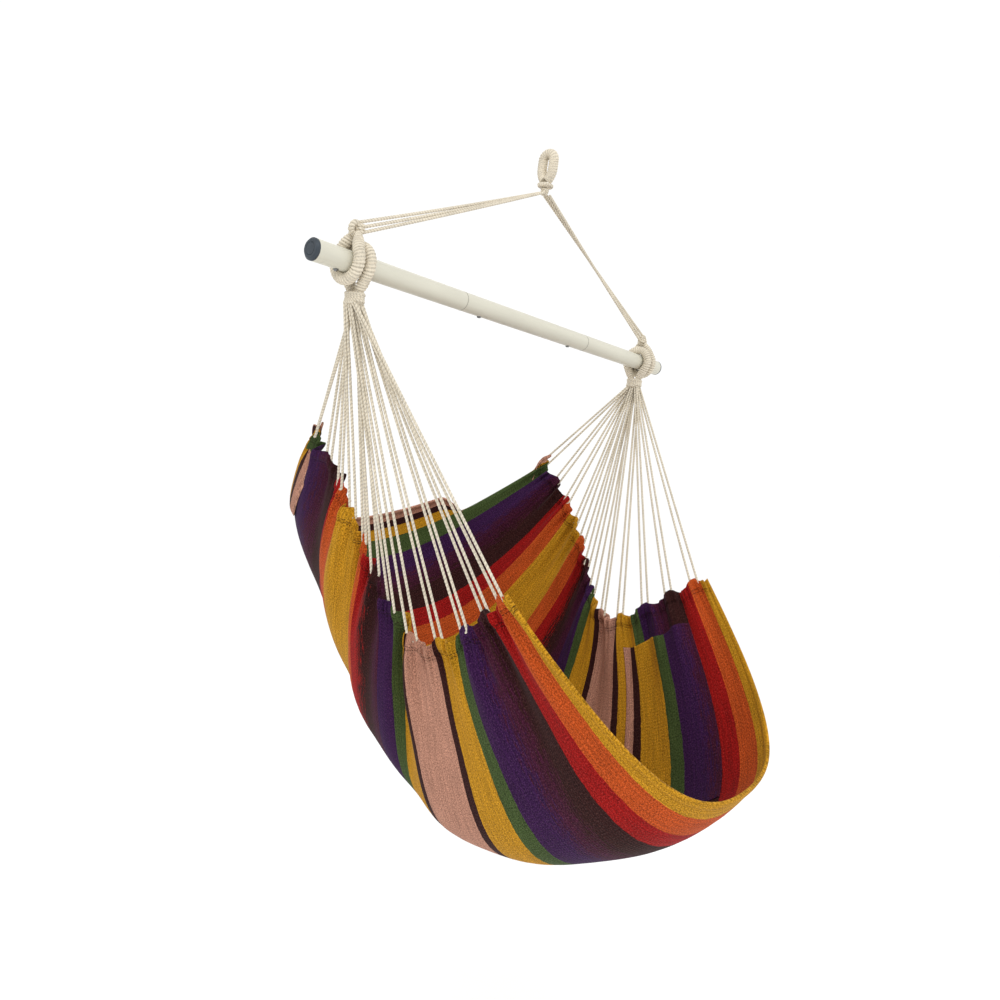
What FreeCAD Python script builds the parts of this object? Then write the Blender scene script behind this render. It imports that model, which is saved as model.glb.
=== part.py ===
"""Hanging hammock chair: a striped cotton sling, hung by two fans of cord from a three-piece spreader bar.

Frame: millimetres, +Z up, +X along the bar, -Y towards the sitter's knees.
Origin: the point inside the top of the hanging loop that bears on the hook.
"""
import FreeCAD, Part
import Sketcher
import math
import os

from FreeCAD import Placement, Rotation, Vector

CELLS = [
    # alias, value in millimetres (or a plain number), what it sets
    ("bar_drop", 300, "hook bearing point down to the bar's axis"),
    ("bar_length", 1000, "spreader bar over its end caps"),
    ("bar_diameter", 32, "outside of the bar tube"),
    ("bar_wall", 1.5, "wall of every bar tube"),
    ("middle_length", 370, "middle section of the bar, seam to seam"),
    ("spigot_length", 75, "swaged spigot that slides into the middle section"),
    ("spigot_fit", 0.1, "radial clearance of the spigot in the middle section"),
    ("cap_rim", 6, "end cap outside the tube"),
    ("cap_plug", 18, "end cap inside the tube"),
    ("cap_chamfer", 3, "bevel round the end cap's face"),
    ("cap_ring", 9, "radius of the ring pressed in the end cap's face"),
    ("cap_groove", 0.75, "depth and half width of that ring"),
    ("cap_fit", 0.05, "radial clearance of the cap's plug in the tube"),
    ("button_diameter", 7, "snap button's pin"),
    ("button_proud", 2.5, "how far the snap button stands out of the bar"),
    ("button_travel", 4.2, "how far the snap button presses in"),
    ("button_setback", 49, "seam to the snap button's centre"),
    ("button_clearance", 0.3, "radial clearance round the snap button"),
    ("button_bevel", 0.8, "bevel round the snap button's tip"),
    ("button_flange", 10, "diameter of the button's inner flange"),
    ("flange_thickness", 1.2, "thickness of that flange"),
    ("flange_rise", 2.6, "lowest line of the spigot's bore up to the top of the flange"),
    ("spring_width", 6, "width of the V spring's strip"),
    ("spring_strip", 0.7, "thickness of the V spring's strip"),
    ("spring_length", 42, "V spring from its tips to its bend"),
    ("spring_bend", 2.1, "V spring's depth where its arms meet"),
    ("spring_gap", 0.2, "play between spring, flange and tube"),
    ("stop_pin_diameter", 3.5, "shank of the pin that stops the rope loops"),
    ("stop_pin_length", 6, "shank under the stop pin's head"),
    ("stop_pin_head", 8, "head of the stop pin"),
    ("stop_pin_edge", 1.4, "straight edge of that head"),
    ("stop_pin_shoulder", 3, "height of the head where its crown begins"),
    ("stop_pin_crown", 2.4, "radius of the crown"),
    ("stop_pin_height", 3.4, "height of the head"),
    ("stop_pin_inset", 48, "stop pin's centre from the end of the bar"),
    ("loop_strand", 18, "twine-served rope of the loops round the bar"),
    ("loop_slack", 0.5, "play between the bar and the loops"),
    ("fan_inset", 88, "sling loop's centre from the end of the bar"),
    ("loop_pitch", 21, "sling loop to suspension loop, along the bar"),
    ("binding_drop", 38, "bar axis to the near face of the loop's binding"),
    ("leg_spread", 12, "distance between the loop's two legs in the binding"),
    ("leg_embed", 4, "how far the legs reach into the binding"),
    ("whipping_height", 20, "bound collar that gathers the fan cords"),
    ("whipping_width", 26, "bound collar along the bar"),
    ("whipping_depth", 40, "bound collar across the bar"),
    ("knot_diameter", 26, "knot on top of each suspension loop"),
    ("knot_rise", 49, "bar axis to the knot's centre"),
    ("knot_inset", 8, "knot leans this far towards the middle"),
    ("knot_embed", 4.3, "how far the suspension cords reach into the knot"),
    ("suspension_cord", 5.2, "laid cord from knot to hanging loop"),
    ("suspension_pitch", 7.5, "spacing of the three suspension cords at either end"),
    ("eye_strand", 18, "twine-served rope of the hanging loop"),
    ("eye_gap", 6, "opening of the hanging loop, side to side"),
    ("eye_straight", 15, "straight sides of the hanging loop"),
    ("eye_tail_radius", 30, "curve that closes the hanging loop below"),
    ("eye_ball", 24, "rounded foot of the hanging loop"),
    ("binding_diameter", 30, "binding under the hanging loop"),
    ("binding_height", 7, "height of that binding"),
    ("throat_diameter", 16, "gathered rope below the binding"),
    ("throat_height", 4, "straight part of the throat"),
    ("throat_ball", 14, "rounded foot of the throat"),
    ("joint_gap", 0.3, "clearance between pieces that move on each other"),
    ("fan_cord", 4.6, "laid cord of the fans"),
    ("fan_pitch_along", 6.5, "cord spacing in the collar, along the bar"),
    ("fan_pitch_across", 6.5, "cord spacing in the collar, across the bar"),
    ("fan_bight", 7, "radius of the cord's turn inside the header"),
    ("fan_seat", 6, "header edge to the centre of that turn"),
    ("fan_embed", 3, "how far a fan cord reaches up into the collar"),
    ("sling_half_width", 325, "half width of the sling at its front corners"),
    ("sling_drop", 428, "bar axis down to the sling's front corners"),
    ("sling_thickness", 3, "gathered cotton cloth of the sling"),
    ("header_depth", 25, "folded and gathered band along each side"),
    ("header_thickness", 5, "thickness of that band"),
    ("hem_width", 12, "rolled hem at the knees and at the back"),
    ("hem_thickness", 6, "thickness of the rolled hem"),
    ("seam_gap", 0.6, "play between the cloth pieces along their seams"),
    ("pocket_thickness", 1.5, "cloth of the patch pocket"),
    ("pocket_gap", 0.3, "pocket off the sling's inner face"),
]
SIDES = (("left", -1), ("right", 1))
PAIRS = 12                 # cords hang in pairs: one cord, doubled, per gather of the header
COLUMNS = 4                # the collar holds the fan cords in rows of four
STRANDS = 3                # suspension cords on each side

# Outline of the sling's right header, front corner to back corner, as poles of a Bezier curve.
# x is measured from sling_half_width, z from the height of the front corners.
HEADER_POLES = [(0, -270, 0), (-100, -197, -38), (-50, 110, -377),
                (12, -214, 95), (15, 223, 161), (4, 138, 197)]
# The sling's centre line, knees to back edge, as poles (y, z) of a Bezier curve in the same way.
CENTRE_POLES = [(-524, -272), (-438, -491), (-16, -527), (42, -628), (15, -247), (460, -108), (438, 0)]
# How square the sling's cross-section is (a power) and how much its sides bulge, knees to back.
SQUARENESS = [3.6, 7.0, 2.13]
BULGE = [0.055, 0.08, -0.03]
CREASE_SOFTENING = 0.3    # rounds the power curve where it crosses the middle
# Where each cord enters the header, as a share of the cloth's width from the knees to the back.
HEADER_GATHERS = [0.039, 0.107, 0.174, 0.262, 0.370, 0.482, 0.572, 0.639, 0.693, 0.758, 0.830, 0.935]
# Which column of the collar each cord of a row takes, front to back, so that no two cords cross.
COLUMN_ORDER = [(3, 1, 0, 2), (2, 3, 1, 0), (3, 2, 1, 0)]
POCKET_PATCH = (0.24, 0.87, 0.082, 0.250)  # from and to: share of the half length, share of the width
FOOT_SHARE = 0.25         # how far a rounded foot stands into what is under it, as a share of its diameter
# How many steps each surface is worked out in: along the stripes, across them.
SLING_GRID, HEADER_GRID, HEM_GRID, POCKET_GRID = (40, 36), (3, 36), (42, 3), (10, 8)
SLOPE_STEP_ALONG, SLOPE_STEP_ACROSS = 0.01, 0.004   # shares over which a surface's slope is taken

doc = FreeCAD.newDocument("HammockChair")
sheet = doc.addObject("Spreadsheet::Sheet", "Dims")
for row, (alias, value, note) in enumerate(CELLS, start=1):
    sheet.set(f"A{row}", note)
    sheet.set(f"B{row}", str(value))
    sheet.setAlias(f"B{row}", alias)
doc.recompute()

PIECES = []


def size(alias):
    """The value of one cell of the sheet."""
    return float(sheet.get(alias))


def bind(obj, **expressions):
    """Ties properties of an object to the sheet; a double underscore in a name stands for a dot."""
    for prop, expression in expressions.items():
        obj.setExpression(prop.replace("__", "."), expression)


def piece(obj, label):
    """Marks an object as one finished sub-part."""
    obj.Label = label
    PIECES.append(obj)
    return obj


def feature(label, shape):
    """A sub-part whose shape is worked out from the sheet's values."""
    obj = doc.addObject("Part::Feature", label + "_shape")
    obj.Shape = shape
    return piece(obj, label)


# ---- the spreader bar -------------------------------------------------------------------------

BAR_Z = "-Dims.bar_drop"
OUTER_R = "Dims.bar_diameter / 2"
INNER_R = "(Dims.bar_diameter / 2 - Dims.bar_wall)"
SPIGOT_R = "(Dims.bar_diameter / 2 - Dims.bar_wall - Dims.spigot_fit)"
SPIGOT_BORE = "(Dims.bar_diameter / 2 - 2 * Dims.bar_wall - Dims.spigot_fit)"
SEAM_X = "Dims.middle_length / 2"
BUTTON_X = "(Dims.middle_length / 2 - Dims.button_setback)"
STOP_X = "(Dims.bar_length / 2 - Dims.stop_pin_inset)"


def rod_along_bar(name, start, end, radius):
    """A cylinder on the bar's axis between two x positions, all given as expressions."""
    rod = doc.addObject("Part::Cylinder", name)
    rod.Placement = Placement(Vector(0, 0, 0), Rotation(Vector(0, 1, 0), 90))
    bind(rod, Radius=radius, Height=f"({end}) - ({start})", Placement__Base__x=start, Placement__Base__z=BAR_Z)
    return rod


def rod_down(name, x, radius):
    """A cylinder from the bar's axis straight down through its wall."""
    rod = doc.addObject("Part::Cylinder", name)
    rod.Placement = Placement(Vector(0, 0, 0), Rotation(Vector(1, 0, 0), 180))
    bind(rod, Radius=radius, Height="Dims.bar_diameter", Placement__Base__x=x, Placement__Base__z=BAR_Z)
    return rod


def cut(name, base, tool):
    """Base with the tool's space taken out of it."""
    result = doc.addObject("Part::Cut", name)
    result.Base, result.Tool = base, tool
    return result


def join(name, shapes):
    """Several overlapping or touching solids made one."""
    result = doc.addObject("Part::MultiFuse", name)
    result.Shapes, result.Refine = shapes, True
    return result


def span(side, near, far):
    """The start and end expressions of a stretch of bar, given by its distances from the middle."""
    return (near, far) if side > 0 else (f"-({far})", f"-({near})")


def signed(side, distance):
    return distance if side > 0 else f"-({distance})"


def middle_section():
    """The sleeve in the middle, open at both ends, with a hole for each snap button."""
    ends = (f"-{SEAM_X}", SEAM_X)
    tube = cut("middle_tube", rod_along_bar("middle_outside", *ends, OUTER_R),
               rod_along_bar("middle_bore", *ends, INNER_R))
    hole_radius = "Dims.button_diameter / 2 + Dims.button_clearance"
    for name, side in SIDES:
        hole = rod_down(f"middle_hole_{name}", signed(side, BUTTON_X), hole_radius)
        tube = cut(f"middle_drilled_{name}", tube, hole)
    piece(tube, "bar_middle")


def outer_section(name, side):
    """An end section: tube, shoulder and the swaged spigot that slides into the middle section."""
    tube_ends = span(side, SEAM_X, "Dims.bar_length / 2 - Dims.cap_rim")
    shoulder_ends = span(side, SEAM_X, f"{SEAM_X} + Dims.bar_wall")
    spigot_ends = span(side, f"{SEAM_X} - Dims.spigot_length", f"{SEAM_X} + Dims.bar_wall")
    shell = cut(f"tube_{name}", rod_along_bar(f"tube_outside_{name}", *tube_ends, OUTER_R),
                rod_along_bar(f"tube_bore_{name}", *tube_ends, INNER_R))
    shoulder = rod_along_bar(f"shoulder_{name}", *shoulder_ends, OUTER_R)
    spigot = rod_along_bar(f"spigot_{name}", *spigot_ends, SPIGOT_R)
    body = join(f"section_{name}", [shell, shoulder, spigot])
    body = cut(f"section_open_{name}", body, rod_along_bar(f"spigot_bore_{name}", *spigot_ends, SPIGOT_BORE))
    hole_radius = "Dims.button_diameter / 2 + Dims.button_clearance"
    body = cut(f"section_holed_{name}", body, rod_down(f"button_hole_{name}", signed(side, BUTTON_X), hole_radius))
    pin_hole = rod_down(f"pin_hole_{name}", signed(side, STOP_X), "Dims.stop_pin_diameter / 2")
    piece(cut(f"section_drilled_{name}", body, pin_hole), f"bar_{name}")


def turned(label, profile, placement, **expressions):
    """A PartDesign body turned about its own Z axis. The profile is a list of (radius, height)
    expressions, none negative; "0" puts a point on the axis or on the base line."""
    body = doc.addObject("PartDesign::Body", label + "_body")
    sketch = body.newObject("Sketcher::SketchObject", label + "_profile")
    plane = next(f for f in body.Origin.OriginFeatures if f.Role == "XZ_Plane")
    sketch.AttachmentSupport = [(plane, "")]
    sketch.MapMode = "FlatFace"
    sheet_values = [(evaluated(r), evaluated(h)) for r, h in profile]
    count = len(profile)
    for i in range(count):
        (r0, h0), (r1, h1) = sheet_values[i], sheet_values[(i + 1) % count]
        sketch.addGeometry(Part.LineSegment(Vector(r0, h0, 0), Vector(r1, h1, 0)), False)
    for i in range(count):
        sketch.addConstraint(Sketcher.Constraint("Coincident", i, 2, (i + 1) % count, 1))
    for i, (radius, height) in enumerate(profile):
        for axis, kind, text in ((-2, "DistanceX", radius), (-1, "DistanceY", height)):
            if text == "0":
                sketch.addConstraint(Sketcher.Constraint("PointOnObject", i, 1, axis))
                continue
            number = sketch.addConstraint(Sketcher.Constraint(kind, -1, 1, i, 1, evaluated(text)))
            sketch.setExpression(f"Constraints[{number}]", text)
    turn = body.newObject("PartDesign::Revolution", label + "_turn")
    turn.Profile = sketch
    turn.ReferenceAxis = (sketch, ["V_Axis"])
    turn.Angle = 360
    body.Placement = placement
    bind(body, **expressions)
    return piece(body, label)


def evaluated(expression):
    """The number that an expression of the sheet's cells comes to."""
    names = {alias: size(alias) for alias, _, _ in CELLS}
    total = expression.replace("Dims.", "")
    for alias in sorted(names, key=len, reverse=True):
        total = total.replace(alias, repr(names[alias]))
    return FreeCAD.Units.Quantity(total).Value


def end_cap(name, side):
    """A moulded plug with a bevelled face and one shallow ring pressed in it."""
    plug = "(Dims.bar_diameter / 2 - Dims.bar_wall - Dims.cap_fit)"
    face = "(Dims.cap_plug + Dims.cap_rim)"
    ring, groove = "Dims.cap_ring", "Dims.cap_groove"
    profile = [
        ("0", "0"),
        (plug, "0"),
        (plug, "Dims.cap_plug"),
        (OUTER_R, "Dims.cap_plug"),
        (OUTER_R, f"{face} - Dims.cap_chamfer"),
        (f"{OUTER_R} - Dims.cap_chamfer", face),
        (f"{ring} + {groove}", face),
        (ring, f"{face} - {groove}"),
        (f"{ring} - {groove}", face),
        ("0", face),
    ]
    inner_end = "(Dims.bar_length / 2 - Dims.cap_rim - Dims.cap_plug)"
    turned(f"end_cap_{name}", profile, Placement(Vector(), Rotation(Vector(0, 1, 0), 90 * side)),
           Placement__Base__x=signed(side, inner_end), Placement__Base__z=BAR_Z)


FLANGE_DROP = "(Dims.bar_diameter / 2 - 2 * Dims.bar_wall - Dims.flange_rise)"   # below the bar's axis


def snap_button(name, side):
    """The pin that locks two sections, with the flange that keeps it inside the spigot."""
    pin = "Dims.button_diameter / 2"
    tip = f"({OUTER_R} + Dims.button_proud - {FLANGE_DROP})"
    profile = [
        ("0", "0"),
        ("Dims.button_flange / 2", "0"),
        ("Dims.button_flange / 2", "Dims.flange_thickness"),
        (pin, "Dims.flange_thickness"),
        (pin, f"{tip} - Dims.button_bevel"),
        (f"{pin} - Dims.button_bevel", tip),
        ("0", tip),
    ]
    turned(f"snap_button_{name}", profile, Placement(Vector(), Rotation(Vector(1, 0, 0), 180)),
           Placement__Base__x=signed(side, BUTTON_X), Placement__Base__z=f"{BAR_Z} - {FLANGE_DROP}")


def stop_pin(name, side):
    """The pin whose head stops the rope loops from sliding off the bar."""
    shank = "Dims.stop_pin_diameter / 2"
    head = "Dims.stop_pin_head / 2"
    seat = "Dims.stop_pin_length"
    profile = [
        ("0", "0"),
        (shank, "0"),
        (shank, seat),
        (head, seat),
        (head, f"{seat} + Dims.stop_pin_edge"),
        ("Dims.stop_pin_crown", f"{seat} + Dims.stop_pin_shoulder"),
        ("0", f"{seat} + Dims.stop_pin_height"),
    ]
    turned(f"stop_pin_{name}", profile, Placement(Vector(), Rotation(Vector(1, 0, 0), 180)),
           Placement__Base__x=signed(side, STOP_X), Placement__Base__z=f"{BAR_Z} - {OUTER_R} + {seat}")


def snap_spring(name, side):
    """A V of spring strip inside the spigot: one arm bears on the tube's top, the other on the button."""
    inside_shell = size("bar_diameter") / 2 - 2 * size("bar_wall")
    bore = inside_shell - size("spigot_fit")
    half, strip, gap = size("spring_width") / 2, size("spring_strip"), size("spring_gap")
    button_x = size("middle_length") / 2 - size("button_setback")
    low = size("flange_rise") - inside_shell + gap
    high = math.sqrt(bore ** 2 - half ** 2) - gap
    tip = -size("button_flange") / 2 - strip
    bend = tip + size("spring_length")
    foot = size("button_flange") / 2 + strip
    outline = [(tip, high), (bend, strip), (bend, -strip), (foot, low), (tip, low), (tip, low + strip),
               (foot, low + strip), (bend - size("spring_bend"), 0), (tip, high - strip)]
    corners = [Vector(side * (button_x + x), -half, z) for x, z in outline]
    face = Part.Face(Part.makePolygon(corners + corners[:1]))
    spring = feature(f"snap_spring_{name}", face.extrude(Vector(0, 2 * half, 0)))
    spring.Placement = Placement(Vector(0, 0, -size("bar_drop")), Rotation())


# ---- rope: loops, collars and cords -----------------------------------------------------------

def arc_edge(centre, radius, start, end, across, up):
    """An arc about a centre in the plane of two unit vectors, by its start and end angles in radians."""
    def on(angle):
        return centre + across * (radius * math.cos(angle)) + up * (radius * math.sin(angle))
    return Part.Arc(on(start), on((start + end) / 2), on(end)).toShape()


def line_edge(start, end):
    return Part.LineSegment(start, end).toShape()


def swept(edges, radius):
    """A round rope along a chain of tangent edges."""
    path = Part.Wire(edges)
    first = edges[0]
    start = path.OrderedVertexes[0].Point
    parameter = first.FirstParameter
    if (first.valueAt(parameter) - start).Length > 1e-6:
        parameter = first.LastParameter
    circle = Part.Circle(start, first.tangentAt(parameter), radius)
    return path.makePipeShell([Part.Wire([circle.toShape()])], True, False)


def bar_loop(x, direction):
    """A served loop round the bar. It is closed over the bar by its round part and its two legs meet
    on the other side, below the bar for direction -1 and above it for direction 1."""
    radius = (size("bar_diameter") + size("loop_strand")) / 2 + size("loop_slack")
    reach = size("binding_drop") + size("leg_embed")
    end = Vector(0, size("leg_spread") / 2, reach)
    distance = end.Length
    touch = math.atan2(end.z, end.y) - math.acos(radius / distance)
    halves = []
    for mirror in (1, -1):
        across, up = Vector(0, mirror, 0), Vector(0, 0, direction)
        contact = across * (radius * math.cos(touch)) + up * (radius * math.sin(touch))
        leg = line_edge(across * end.y + up * end.z, contact)
        round_part = arc_edge(Vector(), radius, touch, -math.pi / 2, across, up)
        halves.append(swept([leg, round_part], size("loop_strand") / 2))
    loop = halves[0].fuse(halves[1]).removeSplitter()
    loop.translate(Vector(x, 0, -size("bar_drop")))
    return loop


def whipping(name, side):
    """The bound collar under the sling loop, an oval block of wound twine."""
    oval = doc.addObject("Part::Ellipse", f"whipping_oval_{name}")
    oval.Placement = Placement(Vector(), Rotation(Vector(0, 0, 1), 90))
    bind(oval, MajorRadius="Dims.whipping_depth / 2", MinorRadius="Dims.whipping_width / 2",
         Placement__Base__x=signed(side, "Dims.bar_length / 2 - Dims.fan_inset"),
         Placement__Base__z=f"{BAR_Z} - Dims.binding_drop - Dims.whipping_height")
    collar = doc.addObject("Part::Extrusion", f"whipping_block_{name}")
    collar.Base, collar.DirMode, collar.Dir, collar.Solid = oval, "Custom", Vector(0, 0, 1), True
    bind(collar, LengthFwd="Dims.whipping_height")
    piece(collar, f"fan_whipping_{name}")


def suspension_knot(name, side):
    """The knot that ties the suspension cords to their loop."""
    knot = doc.addObject("Part::Sphere", f"knot_ball_{name}")
    knot_x = "(Dims.bar_length / 2 - Dims.fan_inset + Dims.loop_pitch - Dims.knot_inset)"
    bind(knot, Radius="Dims.knot_diameter / 2", Placement__Base__x=signed(side, knot_x),
         Placement__Base__z=f"{BAR_Z} + Dims.knot_rise")
    piece(knot, f"suspension_knot_{name}")


def eye_levels():
    """Heights of the hanging loop's parts, worked down from the bearing point at zero."""
    top_arc = -size("eye_gap") / 2
    straight_end = top_arc - size("eye_straight")
    ball = straight_end - size("eye_tail_radius") * math.sin(math.pi / 4)
    binding_top = ball - size("eye_ball") * FOOT_SHARE
    binding_foot = binding_top - size("binding_height")
    throat_top = binding_foot - size("joint_gap")
    throat_ball = throat_top - size("throat_height") - size("throat_ball") * FOOT_SHARE
    return top_arc, straight_end, ball, binding_top, binding_foot, throat_top, throat_ball


def hanging_loop():
    """The served eye that goes on the hook: round top, straight sides, and a tail drawn in to a foot."""
    top_arc, straight_end, ball = eye_levels()[:3]
    middle = (size("eye_gap") + size("eye_strand")) / 2
    tail = size("eye_tail_radius")
    across, up = Vector(0, 1, 0), Vector(0, 0, 1)
    edges = [
        arc_edge(across * (middle - tail) + up * straight_end, tail, -math.pi / 4, 0, across, up),
        line_edge(across * middle + up * straight_end, across * middle + up * top_arc),
        arc_edge(up * top_arc, middle, 0, math.pi / 2, across, up),
        arc_edge(up * top_arc, middle, math.pi / 2, math.pi, across, up),
        line_edge(across * -middle + up * top_arc, across * -middle + up * straight_end),
        arc_edge(across * (tail - middle) + up * straight_end, tail, math.pi, math.pi * 1.25, across, up),
    ]
    half = len(edges) // 2
    strand = size("eye_strand") / 2
    foot = Part.makeSphere(size("eye_ball") / 2, up * ball)
    loop = swept(edges[:half], strand).fuse([swept(edges[half:], strand), foot]).removeSplitter()
    feature("hanging_loop", loop)


def loop_binding():
    """The binding under the hanging loop, with a hollow seat that the loop's foot turns in."""
    ball, binding_top, binding_foot = eye_levels()[2:5]
    collar = Part.makeCylinder(size("binding_diameter") / 2, binding_top - binding_foot, Vector(0, 0, binding_foot))
    seat = Part.makeSphere(size("eye_ball") / 2 + size("joint_gap"), Vector(0, 0, ball))
    feature("loop_binding", collar.cut(seat))


def rope_throat():
    """The gathered rope between the binding and the suspension cords."""
    throat_top, throat_ball = eye_levels()[5:7]
    height = size("throat_height")
    neck = Part.makeCylinder(size("throat_diameter") / 2, height, Vector(0, 0, throat_top - height))
    feature("rope_throat", neck.fuse(Part.makeSphere(size("throat_ball") / 2, Vector(0, 0, throat_ball))))


def suspension_cords(name, side):
    """Three taut cords from the throat down to the knot on the bar. They leave the throat side by side
    and come to the knot one above the other."""
    apex = Vector(0, 0, eye_levels()[6])
    knot_x = size("bar_length") / 2 - size("fan_inset") + size("loop_pitch") - size("knot_inset")
    knot = Vector(side * knot_x, 0, size("knot_rise") - size("bar_drop"))
    along = (knot - apex).normalize()
    start = apex + along * (size("throat_ball") / 2 + size("suspension_cord") / 2)
    end = knot - along * (size("knot_diameter") / 2 - size("knot_embed"))
    upward = along.cross(Vector(0, side, 0))
    for strand in range(STRANDS):
        offset = (strand - (STRANDS - 1) / 2) * size("suspension_pitch")
        high = start + Vector(0, offset, 0)
        run = end + upward * offset - high
        cord = Part.makeCylinder(size("suspension_cord") / 2, run.Length, high, run)
        feature(f"suspension_cord_{name}_{strand + 1}", cord)


# ---- the sling's surface ----------------------------------------------------------------------

def bezier(poles, share):
    """The point at a share of a Bezier curve; the poles are numbers or tuples of numbers."""
    degree = len(poles) - 1
    weights = [math.comb(degree, i) * share ** i * (1 - share) ** (degree - i) for i in range(degree + 1)]
    if isinstance(poles[0], tuple):
        return [sum(w * p[axis] for w, p in zip(weights, poles)) for axis in range(len(poles[0]))]
    return sum(w * p for w, p in zip(weights, poles))


def cross_section(width_share, count=160):
    """One line of cloth from the middle to the right header: points with their distance along it.
    Height and depth go from the centre line to the header as a softened power of the distance out."""
    header = bezier(HEADER_POLES, width_share)
    header_x = header[0] + size("sling_half_width")
    centre_y, centre_z = bezier(CENTRE_POLES, width_share)
    power, bulge = bezier(SQUARENESS, width_share), bezier(BULGE, width_share)
    soft = CREASE_SOFTENING
    low, high = soft ** power, (1 + soft ** 2) ** (power / 2)
    points, lengths = [], [0.0]
    for i in range(count + 1):
        out = i / count
        rise = ((out ** 2 + soft ** 2) ** (power / 2) - low) / (high - low)
        x = header_x * out * (1 + bulge * out * (1 - out ** 4))
        y = centre_y + (header[1] - centre_y) * rise
        z = centre_z + (header[2] - centre_z) * rise - size("sling_drop") - size("bar_drop")
        points.append(Vector(x, y, z))
        if i:
            lengths.append(lengths[-1] + (points[-1] - points[-2]).Length)
    return points, lengths


def point_on(section, half_share):
    """The point of a cross-section at a share of its length, -1 left header to 1 right header."""
    points, lengths = section
    wanted = abs(half_share) * lengths[-1]
    i = next(k for k in range(1, len(lengths)) if lengths[k] >= wanted - 1e-9)
    part = (wanted - lengths[i - 1]) / (lengths[i] - lengths[i - 1])
    point = points[i - 1] + (points[i] - points[i - 1]) * part
    return Vector(math.copysign(point.x, half_share) if half_share else 0.0, point.y, point.z)


def steps(start, end, count):
    return [start + (end - start) * i / count for i in range(count + 1)]


def face_at(patch, counts, offset):
    """A smooth surface over a patch of the sling, offset along the normal that points into the seat."""
    u0, u1, v0, v1 = patch
    rows = []
    for v in steps(v0, v1, counts[1]):
        section = cross_section(v)
        lower = cross_section(max(0, v - SLOPE_STEP_ACROSS))
        upper = cross_section(min(1, v + SLOPE_STEP_ACROSS))
        row = []
        for u in steps(u0, u1, counts[0]):
            here = point_on(section, u)
            ahead, behind = min(1, u + SLOPE_STEP_ALONG), max(-1, u - SLOPE_STEP_ALONG)
            along = point_on(section, ahead) - point_on(section, behind)
            across = point_on(upper, u) - point_on(lower, u)
            row.append(here + along.cross(across).normalize() * offset)
        rows.append(row)
    surface = Part.BSplineSurface()
    surface.interpolate(rows)
    return surface


def cloth(label, patch, counts, low, high):
    """A closed solid between two offsets of the sling's surface, with ruled sides."""
    faces = [face_at(patch, counts, low), face_at(patch, counts, high)]
    u0, u1, v0, v1 = faces[0].bounds()
    sides = [("uIso", u0), ("uIso", u1), ("vIso", v0), ("vIso", v1)]
    walls = []
    for method, value in sides:
        pair = [getattr(f, method)(value).toShape() for f in faces]
        walls.append(Part.makeRuledSurface(*pair))
    shell = Part.makeShell([f.toShape() for f in faces] + walls)
    shell.sewShape()
    solid = Part.Solid(shell.Shells[0])
    if solid.Volume < 0:
        solid.reverse()
    feature(label, solid)


def sling():
    """Main cloth, the folded band along each header, the two rolled hems and the patch pocket."""
    middle = cross_section(0.5)
    half_length = middle[1][-1]
    band = size("header_depth") / half_length
    degree = len(CENTRE_POLES) - 1
    front_speed = degree * math.dist(CENTRE_POLES[0], CENTRE_POLES[1])
    back_speed = degree * math.dist(CENTRE_POLES[-1], CENTRE_POLES[-2])
    hem, gap = size("hem_width"), size("seam_gap")
    front_hem, back_hem = hem / front_speed, 1 - hem / back_speed
    inner, outer = 1 - band - gap / half_length, 1 - band
    front, back = front_hem + gap / front_speed, back_hem - gap / back_speed
    half_cloth, half_header = size("sling_thickness") / 2, size("header_thickness") / 2
    half_hem = size("hem_thickness") / 2
    cloth("sling", (-inner, inner, front, back), SLING_GRID, -half_cloth, half_cloth)
    cloth("header_left", (-1, -outer, front, back), HEADER_GRID, -half_header, half_header)
    cloth("header_right", (outer, 1, front, back), HEADER_GRID, -half_header, half_header)
    cloth("front_hem", (-1, 1, 0, front_hem), HEM_GRID, -half_hem, half_hem)
    cloth("back_hem", (-1, 1, back_hem, 1), HEM_GRID, -half_hem, half_hem)
    pocket_low = half_cloth + size("pocket_gap")
    cloth("pocket", POCKET_PATCH, POCKET_GRID, pocket_low, pocket_low + size("pocket_thickness"))


# ---- the fans of cord -------------------------------------------------------------------------

def fan_start(side, row, column):
    """Where a cord enters the collar: rows run front to back, columns along the bar."""
    x = size("bar_length") / 2 - size("fan_inset") + (column - (COLUMNS - 1) / 2) * size("fan_pitch_along")
    rows = 2 * PAIRS / COLUMNS
    y = (row - (rows - 1) / 2) * size("fan_pitch_across")
    z = -size("bar_drop") - size("binding_drop") - size("whipping_height")
    return Vector(side * x, y, z)


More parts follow.
